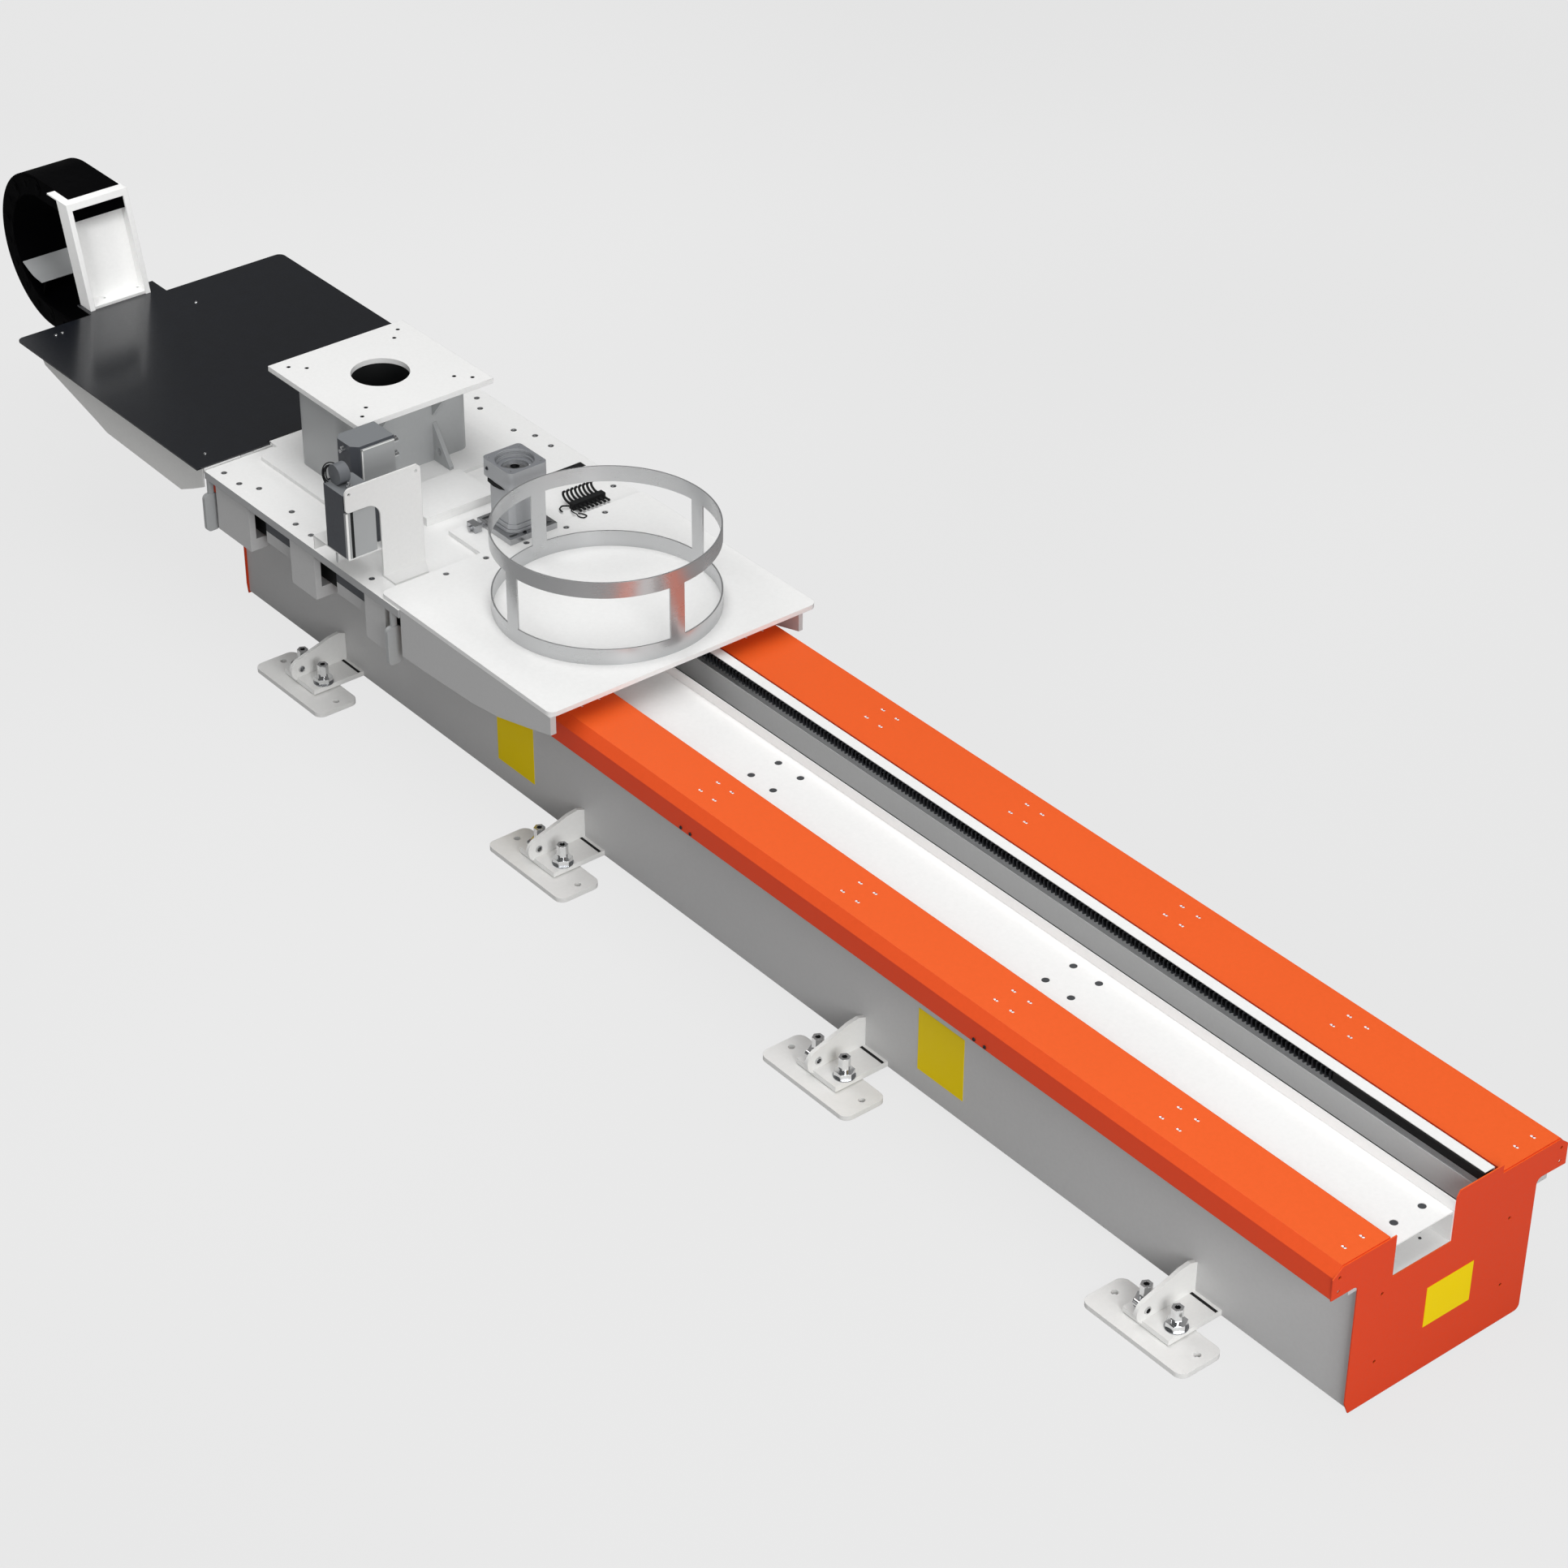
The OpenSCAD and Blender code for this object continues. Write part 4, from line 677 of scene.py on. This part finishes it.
class RAILTRACK_OT_chain_upper_run(bpy.types.Operator):
    """Upper run of the chain, inside its last links at rest"""
    bl_idname = "railtrack.chain_upper_run"
    bl_label = "Chain upper run"

    def execute(self, context):
        ribs = context.scene.track_sizes.upper_ribs
        start, end = low("chain_end")[X] + 1 * MM, high("chain_end")[X] - 40 * MM
        z = (bend_centre[1] + bend_radius - link_height + 2 * MM, bend_centre[1] + bend_radius - 2 * MM)
        y = (chain_front + 2 * MM, chain_back - 2 * MM)
        place = np.linspace(start, end, 4 * ribs + 1)
        # Each rib is two full rings and two that stand 2 mm in
        inset = np.where(np.arange(len(place)) % 4 < 2, 0.0, 2 * MM)
        rings = np.empty((len(place), 4, 3))
        rings[:, :, X] = place[:, None]
        rings[:, :, Y] = np.stack([y[0] + inset, y[1] - inset, y[1] - inset, y[0] + inset], 1)
        rings[:, :, Z] = np.stack([z[0] + inset, z[0] + inset, z[1] - inset, z[1] - inset], 1)
        run = add_piece("chain_upper_run", [loft(rings)], finishes["chain"], None)
        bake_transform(run)
        return {"FINISHED"}


class RAILTRACK_OT_chain_sheen_sheet(bpy.types.Operator):
    """Curved grey sheet inside the chain's bend: a painted reflection of the bright floor on the links'
    inner faces
    """
    bl_idname = "railtrack.chain_shelf"
    bl_label = "Sheet inside the bend"

    def execute(self, context):
        # Points about the bend's centre; both ends touch the inner side of the links
        route = smooth_path([(-137, -83), (-86, -104), (-37, -109)], 8) * MM
        slope = np.gradient(route, axis=0)
        across = np.stack([-slope[:, 1], slope[:, 0]], 1) / np.linalg.norm(slope, axis=1, keepdims=True)
        outline = np.vstack([route, (route + across * 2 * MM)[::-1]]) + bend_centre
        sheet = prism(outline, Y, chain_front + 1 * MM, chain_back - 1 * MM)
        # The grey sheet is painted reflection, the sheen on the inner faces of the links
        add_piece("chain_shelf", [sheet], finishes["panel_grey"], CHAIN)
        # Black ribs carry its free end on the inner side of the links
        end = bend_centre + route[-1]
        wall = np.array([end[0] - 22 * MM, bend_centre[1] - bend_radius + link_height + 1 * MM])
        rib = np.array([end, end + (6 * MM, 0), wall + (10 * MM, 0), wall])
        ribs = [prism(rib, Y, y - 3 * MM, y + 3 * MM) for y in (chain_front + 12 * MM, chain_back - 12 * MM)]
        add_piece("sheen_sheet_ribs", ribs, finishes["chain"], CHAIN)
        return {"FINISHED"}


class RAILTRACK_OT_grease_outlets(bpy.types.Operator):
    """Hooked hoses, ball nipples and a wire loop on the grease distributor"""
    bl_idname = "railtrack.grease_outlets"
    bl_label = "Grease outlets"

    def execute(self, context):
        left, right = low("distributor"), high("distributor")
        height = middle("distributor")[Z]
        first = left[Y] + 6.25 * MM
        hook = smooth_path([(2, 0, 0), (-10, 0, 0), (-22, 0, 2), (-32, 0, 9), (-34, 0, 18),
                            (-27, 0, 25)], 5) * MM
        ball = np.array([(2.4, -3), (3.4, -2), (3.7, 0.5), (2.7, 2.8), (0.4, 3.6)]) * MM
        shapes = []
        for i in range(8):
            y = first + i * 12.5 * MM
            shapes.append(tube(hook + (left[X] + 16 * MM, y, height), 3.2 * MM, guide=(0, 1, 0)))
            shapes.append(turned(ball, (right[X], y, height), axis=X, sides=12))
        # The wire lies on the main plate, and from 50 mm on over the edge of the 12 mm ring plate
        loop = smooth_path([(2, 2, 6), (14, -8, 5), (34, -13, 9), (48, -17, 14), (62, -20, 14),
                            (74, -14, 14), (70, -2, 14), (58, -6, 15), (53, -16, 17)], 6) * MM
        shapes.append(tube(loop + (drive_x, left[Y], plate_top), 1.6 * MM, 6))
        spur = smooth_path([(-4, -2, 8), (-14, -16, 8), (-8, -28, 6), (6, -30, 6)], 6) * MM
        shapes.append(tube(spur + (drive_x, left[Y], plate_top), 2.2 * MM, 6))
        add_piece("grease_hoses", shapes, finishes["rubber"], CARRIAGE)
        return {"FINISHED"}


def screw_head(place, radius, axis=Z, outward=1):
    """Pan head of a small screw: a low dome round a sunk socket, standing off a face along an axis."""
    profile = np.array([(1, 0), (1, 0.25), (0.8, 0.5), (0.5, 0.5), (0.5, 0.15), (0.05, 0.15)]) * radius
    profile[:, 1] *= outward
    return turned(profile, place, axis=axis, sides=16)


class RAILTRACK_OT_small_screws(bpy.types.Operator):
    """Small pan-head screws on the lips, the platform, the duct's tray and the foot brackets"""
    bl_idname = "railtrack.small_screws"
    bl_label = "Small screws"

    def execute(self, context):
        radius = context.scene.track_sizes.small_screw
        lip, lip_screw_z = low("front_cover")[Y], 358 * MM
        # The lip has a pair of screws every 1001 mm
        first_pair, pair_pitch, pair_gap = 1004 * MM, 1001 * MM, 34 * MM
        fixed = [screw_head((near_x - first_pair - i * pair_pitch - beside, lip, lip_screw_z), radius, Y, -1)
                 for i in range(3) for beside in (0, pair_gap)]
        add_piece("lip_screws", fixed, finishes["black_oxide"], TRACK)
        platform_z = high("platform")[Z]
        spots = [(-2116, -325), (-2118, -304), (-2049, 73), (-1310, -360), (-1310, 360)]
        riding = [screw_head((x * MM, y * MM, platform_z), radius) for x, y in spots]
        add_piece("platform_screws", riding, finishes["bright_zinc"], CARRIAGE)
        floor_z = low("duct_channel")[Z] + 3 * MM
        tray = [screw_head((near_x - 43 * MM, -35 * MM, floor_z), 3.4 * MM)]
        add_piece("tray_screw", tray, finishes["black_oxide"], TRACK)
        return {"FINISHED"}


class RAILTRACK_OT_seals(bpy.types.Operator):
    """Trim on the duct's wall, black pieces that paint shade past the rack, in the column's bore, in the
    cable slot and in the robot plate's threaded holes, and the gap's strip
    """
    bl_idname = "railtrack.seals"
    bl_label = "Trims and sleeves"

    def execute(self, context):
        wall_y, wall_z = high("duct_channel")[Y], high("duct_channel")[Z]
        trim = block((beam_far_x, near_x), (wall_y, wall_y + 3 * MM), (wall_z - 12 * MM, wall_z))
        rack_low, rack_high = low("rack"), high("rack")
        # Black bar past the rack's end: painted shade under the cover strip
        bar_back = 109.5 * MM
        bar = block((rack_high[X], near_x - 6 * MM), (rack_low[Y] + 3 * MM, bar_back),
                    (rack_low[Z], rack_high[Z] - 0.5 * MM))
        add_piece("edge_trim_and_shade_bar", [trim, bar], finishes["rubber"], TRACK)
        centre = middle("robot_plate")
        under = low("robot_plate")[Z]
        floor_z = high("pedestal_base")[Z]
        # Sleeve, black as painted shade in the column's bore: a thin tube from the robot plate down to 30 mm
        # above the base, closed by a disc there
        disc_z = floor_z + 30 * MM
        wall = np.array([(76 * MM, 0), (78 * MM, 0), (78 * MM, disc_z - under), (76 * MM, disc_z - under)])
        sleeve = hoop(wall, (centre[0], centre[1], under))
        disc = turned(np.array([(77, 0), (77, 3), (0.5, 3)]) * MM, (centre[0], centre[1], disc_z), sides=48)
        # Black rubber plug in the main plate's cable slot, 0.2 mm clear of its edges: painted shade in the
        # slot
        slot_x = (drive_x - 179.8 * MM, drive_x - 156.2 * MM)
        slot_y = (287.2 * MM, 374.8 * MM)
        slot = block(slot_x, slot_y, (plate_top - 18 * MM, plate_top - 1 * MM))
        add_piece("bore_shade_sleeve", [sleeve, disc, slot], finishes["rubber"], CARRIAGE)
        # Black linings in the robot plate's fixing holes: the threads' dark steel, and painted shade in the
        # holes
        lining = np.array([(4.3, -13), (5.4, -13), (5.4, -0.6), (4.3, -0.6)]) * MM
        inserts = [hoop(lining, (*spot, high("robot_plate")[Z]), sides=20)
                   for half in (166 * MM, 133 * MM) for spot in corners(centre[0], centre[1], half, half)]
        add_piece("thread_shade_linings", inserts, finishes["rubber"], CARRIAGE)
        # Pale strip that closes the slit between the platform and the main plate
        edge, half_width = high("platform")[X], 398 * MM
        strip = block((edge - 5 * MM, edge - 1 * MM), (-half_width, half_width),
                      (plate_top - 10 * MM, low("platform")[Z]))
        add_piece("gap_strip", [strip], finishes["white"], CARRIAGE)
        return {"FINISHED"}


class RAILTRACK_OT_foot_details(bpy.types.Operator):
    """Black strips of painted shade in the gaps beside the beam's wall and in the screws' sockets, washers,
    and the bright bushes in the gussets
    """
    bl_idname = "railtrack.foot_details"
    bl_label = "Foot details"

    def execute(self, context):
        lug_top = low("levelling_nuts")[Z]
        screw_top = high("levelling_screws")[Z]
        washer = np.array([(12.6, 0), (26, 0), (26, 2), (12.6, 2)]) * MM
        bush = np.array([(6, -48), (8.6, -48), (8.6, -8), (6, -8)]) * MM
        wall_gap = (254 * MM, 261 * MM)
        gaps, sockets, washers, bushes = [], [], [], []
        for x in foot_places:
            # Painted shade: a black strip in the gap beside the beam's wall
            gaps.append(block((x - 10 * MM, x + 66 * MM), wall_gap,
                              (lug_top - 1 * MM, lug_top + 0.6 * MM)))
            bushes.append(hoop(bush, (x, eye_y, eye_z), axis=X, sides=20))
            for side in (-1, 1):
                place = (x + side * screw_half_pitch, screw_y)
                # Painted shade: a black hexagon deep in each screw's socket
                sockets.append(turned(np.array([(6.6, -11.5), (6.6, -9), (0.4, -9.2)]) * MM,
                                      (*place, screw_top), sides=6))
                washers.append(hoop(washer, (*place, lug_top), sides=32))
        add_piece("foot_gaps", mirrored(gaps + sockets), finishes["rubber"], TRACK)
        add_piece("foot_washers", mirrored(washers), finishes["zinc_grey"], TRACK)
        add_piece("foot_bushes", mirrored(bushes), finishes["chrome"], TRACK)
        return {"FINISHED"}


class RAILTRACK_OT_reducer_trim(bpy.types.Operator):
    """Black crescent of painted shade in the gap under the reducer's head, the collar at its foot, its
    screws and its bore's rings
    """
    bl_idname = "railtrack.reducer_trim"
    bl_label = "Reducer trim"

    def execute(self, context):
        body_low, body_high = low("reducer_body"), high("reducer_body")
        centre = (drive_x, drive_y)

        def rounded_square(half, corner):
            """Square whose corners are cut back to a circle's radius."""
            angle = np.linspace(0, 2 * np.pi, 96, endpoint=False)
            reach = np.minimum(corner, half / np.maximum(abs(np.cos(angle)), abs(np.sin(angle))))
            return np.stack([centre[0] + reach * np.cos(angle), centre[1] + reach * np.sin(angle)], 1)

        # Painted shade: a black crescent in the gap under the head's left side
        crescent = np.array([(-46, 618), (-47, 603), (-24, 599), (4, 602), (26, 609), (10, 612),
                             (-18, 612)]) * MM
        gap_shade = prism(crescent + (drive_x, 0), Y, drive_y - 50.8 * MM, drive_y - 49 * MM)
        collar = prism(rounded_square(56 * MM, 66 * MM), Z, body_low[Z], body_low[Z] + 9 * MM)
        step = prism(rounded_square(53 * MM, 64 * MM), Z, body_low[Z] + 9 * MM, body_low[Z] + 22 * MM)
        add_piece("reducer_gap_shade", [gap_shade], finishes["rubber"], CARRIAGE)
        add_piece("reducer_collar", [collar, step], finishes["cast_alloy"], CARRIAGE, 1 * MM)
        # Turned steps on the wall of the head's bore
        top = high("reducer_head")[Z]
        rings = [hoop(np.array([(radius, -z - 1.6), (radius - 1.6, -z - 0.8), (radius, -z)]) * MM,
                      (*centre, top), sides=64) for radius, z in ((50, 2.5), (50, 7.5), (46, 13.5))]
        add_piece("bore_rings", rings, finishes["cast_alloy"], CARRIAGE)
        flange = high("reducer_flange")[Z]
        screws = [screw_head((centre[0] + a * 61 * MM, centre[1] + b * 20 * MM, flange), 5 * MM)
                  for a in (-1, 1) for b in (-1, 1)]
        screws.append(screw_head((low("reducer_head")[X] + 22 * MM, low("reducer_head")[Y],
                                  middle("reducer_head")[Z]), 5 * MM, Y, -1))
        add_piece("reducer_screws", screws, finishes["black_oxide"], CARRIAGE)
        plug = turned(np.array([(4.5, 0), (4.5, 2.5), (0.5, 3)]) * MM,
                      (centre[0] + 26 * MM, centre[1] + 29 * MM, top - 20 * MM), sides=16)
        add_piece("bore_plug", [plug], finishes["nylon"], CARRIAGE)
        return {"FINISHED"}


class RAILTRACK_OT_curtain_clamps(bpy.types.Operator):
    """Grey clamp strips along the lower edge of the dust curtains"""
    bl_idname = "railtrack.curtain_clamps"
    bl_label = "Curtain clamps"

    def execute(self, context):
        # The dark curtain bars above these strips are painted shadow under the main plate
        foot, bar = low("dust_curtains")[Z], low("curtain_bars")
        strips = [block((drive_x + a * MM, drive_x + b * MM), (bar[Y], bar[Y] + 14 * MM), (foot, bar[Z]))
                  for a, b in ((-512, -363), (-193, -32))]
        add_piece("curtain_clamps", mirrored(strips), finishes["steel_grey"], CARRIAGE)
        return {"FINISHED"}


class RAILTRACK_OT_lubricator_trim(bpy.types.Operator):
    """Painted highlights as white strips on the edges of the lubricator and the box, painted shade as a
    black strip in the lubricator's gap, its tray's stud and its hose loops
    """
    bl_idname = "railtrack.lubricator_trim"
    bl_label = "Lubricator trim"

    def execute(self, context):
        # Painted highlights: thin white strips on the front face's edge and round the door's rim
        face = high("lubricator_front")
        front = low("lubricator_front")
        edge = block((face[X], face[X] + 0.8 * MM), (front[Y], front[Y] + 6 * MM), (front[Z], face[Z]))
        door, top = low("junction_panel"), high("junction_panel")
        out = (top[X], top[X] + 0.8 * MM)
        rim = [block(out, (door[Y], top[Y]), (top[Z] - 3 * MM, top[Z])),
               block(out, (door[Y], door[Y] + 3 * MM), (door[Z], top[Z]))]
        add_piece("box_edge_highlights", [edge, *rim], finishes["nylon"], CARRIAGE)
        stud = turned(np.array([(2.6, 0), (2.6, -30), (1.6, -34)]) * MM,
                      (drive_x - 76 * MM, low("sheet_bracket")[Y] + 6 * MM, front[Z]), sides=10)
        add_piece("tray_stud", [stud], finishes["panel_grey"], CARRIAGE)
        # Painted shade: a black strip in the gap on the lubricator's front
        gap = block((front[X], face[X] + 0.4 * MM), (front[Y] + 13 * MM, front[Y] + 21 * MM),
                    (front[Z], face[Z]))
        cap = middle("lubricator_cap")
        loops = []
        for turn, size in ((0.0, 22), (0.5, 28), (1.1, 17), (2.0, 25)):
            angle = turn + np.linspace(0, 1.6 * np.pi, 28)
            path = np.stack([cap[X] - 26 * MM + 4 * MM * np.sin(2 * angle + turn),
                             cap[Y] - 10 * MM + size * MM * np.cos(angle) * 0.8,
                             cap[Z] - 8 * MM + size * MM * np.sin(angle)], 1)
            loops.append(tube(path, 1.6 * MM, 8, guide=(1, 0, 0)))
        add_piece("grease_hose_loops", [gap, *loops], finishes["rubber"], CARRIAGE)
        return {"FINISHED"}


def look_matrix(place, forward, right, up):
    """Camera matrix whose columns are its right, up and backward directions and its place."""
    turn = np.column_stack([right, up, -np.asarray(forward), place])
    return Matrix(np.vstack([turn, (0, 0, 0, 1)]).tolist())


class RAILTRACK_OT_studio(bpy.types.Operator):
    """Camera at the photograph's angle, soft lamps, even fill and a pale floor"""
    bl_idname = "railtrack.studio"
    bl_label = "Studio"

    def execute(self, context):
        studio = context.scene.track_studio
        self.camera(context, studio)
        lamp("Overhead", (-0.1, -0.3, 4.8), (-0.1, -0.2, 0.4), (7.6, 3.4), studio.overhead)
        lamp("Near_end", (7.5, -2.5, 3.2), (1.5, 0, 0.3), (3.0, 3.0), studio.end_lamp)
        lamp("Front", (0.0, -6.5, 2.2), (-0.3, 0, 0.2), (6.0, 1.6), studio.front_lamp)
        lamp("Far_end", (-4.6, -0.1, 1.8), (-1.9, -0.3, 0.5), (1.6, 1.4), studio.far_lamp)
        lamp("Tow_bracket", (-1.9, -0.9, 1.6), (-2.35, -0.05, 0.6), (0.3, 0.3), studio.bracket_lamp, 50)
        self.world(context, studio)
        self.floor(studio)
        context.scene.view_settings.view_transform = "Standard"
        return {"FINISHED"}

    def camera(self, context, studio):
        """The view that was solved from the photograph's straight edges."""
        data = bpy.data.cameras.new("Photograph_view")
        data.lens, data.sensor_width = studio.lens, 36
        data.shift_x, data.shift_y = -0.0148, 0.0213
        data.clip_end = 200
        camera = bpy.data.objects.new("Photograph_view", data)
        camera.matrix_world = look_matrix(
            (near_x + 3.7419, -4.7381, 5.3474), (-0.63687, 0.52569, -0.56396),
            (0.63239, 0.77461, 0.00790), (-0.4410, 0.3516, 0.8258))
        context.scene.collection.objects.link(camera)
        context.scene.camera = camera

    def world(self, context, studio):
        """Even fill for the object; a pale backdrop for the camera; a dimmer one in its reflections."""
        world = bpy.data.worlds.new("Studio")
        tree = empty_tree(world)
        ray = add(tree, "ShaderNodeLightPath")
        fill = add(tree, "ShaderNodeBackground", values={"Color": (1, 1, 1, 1), "Strength": studio.sky})
        gloss = add(tree, "ShaderNodeBackground", values={"Color": (1, 1, 1, 1), "Strength": 0.12})
        seen = add(tree, "ShaderNodeBackground", values={"Color": shade(studio.floor, 1), "Strength": 1.0})
        mirrored_sky = add(tree, "ShaderNodeMixShader", {0: ray.outputs["Is Glossy Ray"],
                                                         1: fill.outputs[0], 2: gloss.outputs[0]})
        clear = add(tree, "ShaderNodeMath", {0: ray.outputs["Is Camera Ray"],
                                             1: ray.outputs["Is Transmission Ray"]}, operation="MAXIMUM")
        whole = add(tree, "ShaderNodeMixShader", {0: clear.outputs["Value"], 1: mirrored_sky.outputs[0],
                                                  2: seen.outputs[0]})
        add(tree, "ShaderNodeOutputWorld", {"Surface": whole.outputs[0]})
        context.scene.world = world

    def floor(self, studio):
        """A large level sheet whose colour is partly its own light for the camera, so that it stays pale."""
        points, faces = block((-40, 40), (-40, 40), (-0.02, 0))
        mesh = bpy.data.meshes.new("Floor")
        mesh.from_pydata(points.tolist(), [], faces)
        floor = bpy.data.objects.new("Floor", mesh)
        bpy.context.scene.collection.objects.link(floor)
        material = bpy.data.materials.new("Painted_concrete_floor")
        tree = empty_tree(material)
        place = add(tree, "ShaderNodeTexCoord")
        cloud = add(tree, "ShaderNodeTexNoise", {"Vector": place.outputs["Object"]},
                    {"Scale": 0.35, "Detail": 1.0})
        tone = ramp(tree, cloud.outputs["Fac"], 0.3, 0.7, 0.965, 1.0)
        own_light = 0.87
        lit = add(tree, "ShaderNodeBsdfDiffuse", values={"Color": shade(studio.floor, 0.4)})
        own = add(tree, "ShaderNodeEmission", {"Color": scaled(tree, studio.floor, tone)})
        ray = add(tree, "ShaderNodeLightPath")
        seen = add(tree, "ShaderNodeMath", {0: ray.outputs["Is Camera Ray"]}, {1: own_light},
                   operation="MULTIPLY")
        both = add(tree, "ShaderNodeMixShader",
                   {0: seen.outputs["Value"], 1: lit.outputs[0], 2: own.outputs[0]})
        add(tree, "ShaderNodeOutputMaterial", {"Surface": both.outputs[0]})
        mesh.materials.append(material)


def lamp(name, place, target, size, power, spread=180):
    """Rectangular soft lamp at a place, turned to a target, with its beam's spread in degrees."""
    data = bpy.data.lights.new(name, "AREA")
    data.shape, data.size, data.size_y, data.energy = "RECTANGLE", size[0], size[1], power
    data.spread = math.radians(spread)
    thing = bpy.data.objects.new(name, data)
    way = Vector(target) - Vector(place)
    thing.location = place
    thing.rotation_euler = way.to_track_quat("-Z", "Y").to_euler()
    bpy.context.scene.collection.objects.link(thing)


class RAILTRACK_PT_panel(bpy.types.Panel):
    """Lists the track's finishes, fittings and studio"""
    bl_idname = "RAILTRACK_PT_panel"
    bl_label = "Rail track"
    bl_space_type = "VIEW_3D"
    bl_region_type = "UI"
    bl_category = "Rail track"

    def draw(self, context):
        for step in STEPS:
            self.layout.operator(step.bl_idname)
        for group in SETTINGS:
            box = self.layout.box()
            for name in SETTINGS[group].__annotations__:
                box.prop(getattr(context.scene, group), name)


SETTINGS = {"track_colours": TrackColours, "track_sizes": TrackSizes, "track_studio": TrackStudio}
STEPS = (RAILTRACK_OT_finishes, RAILTRACK_OT_slot_caps, RAILTRACK_OT_lid_plugs, RAILTRACK_OT_chain_links,
         RAILTRACK_OT_chain_upper_run, RAILTRACK_OT_chain_sheen_sheet, RAILTRACK_OT_grease_outlets,
         RAILTRACK_OT_small_screws, RAILTRACK_OT_seals, RAILTRACK_OT_foot_details,
         RAILTRACK_OT_reducer_trim, RAILTRACK_OT_curtain_clamps, RAILTRACK_OT_lubricator_trim,
         RAILTRACK_OT_studio)


def register():
    for made in (*SETTINGS.values(), *STEPS, RAILTRACK_PT_panel):
        bpy.utils.register_class(made)
    for name, group in SETTINGS.items():
        setattr(bpy.types.Scene, name, PointerProperty(type=group))


def unregister():
    for name in SETTINGS:
        delattr(bpy.types.Scene, name)
    for made in reversed((*SETTINGS.values(), *STEPS, RAILTRACK_PT_panel)):
        bpy.utils.unregister_class(made)


def main():
    register()
    for step in STEPS:
        area, name = step.bl_idname.split(".")
        getattr(getattr(bpy.ops, area), name)()


if __name__ == "__main__":
    main()
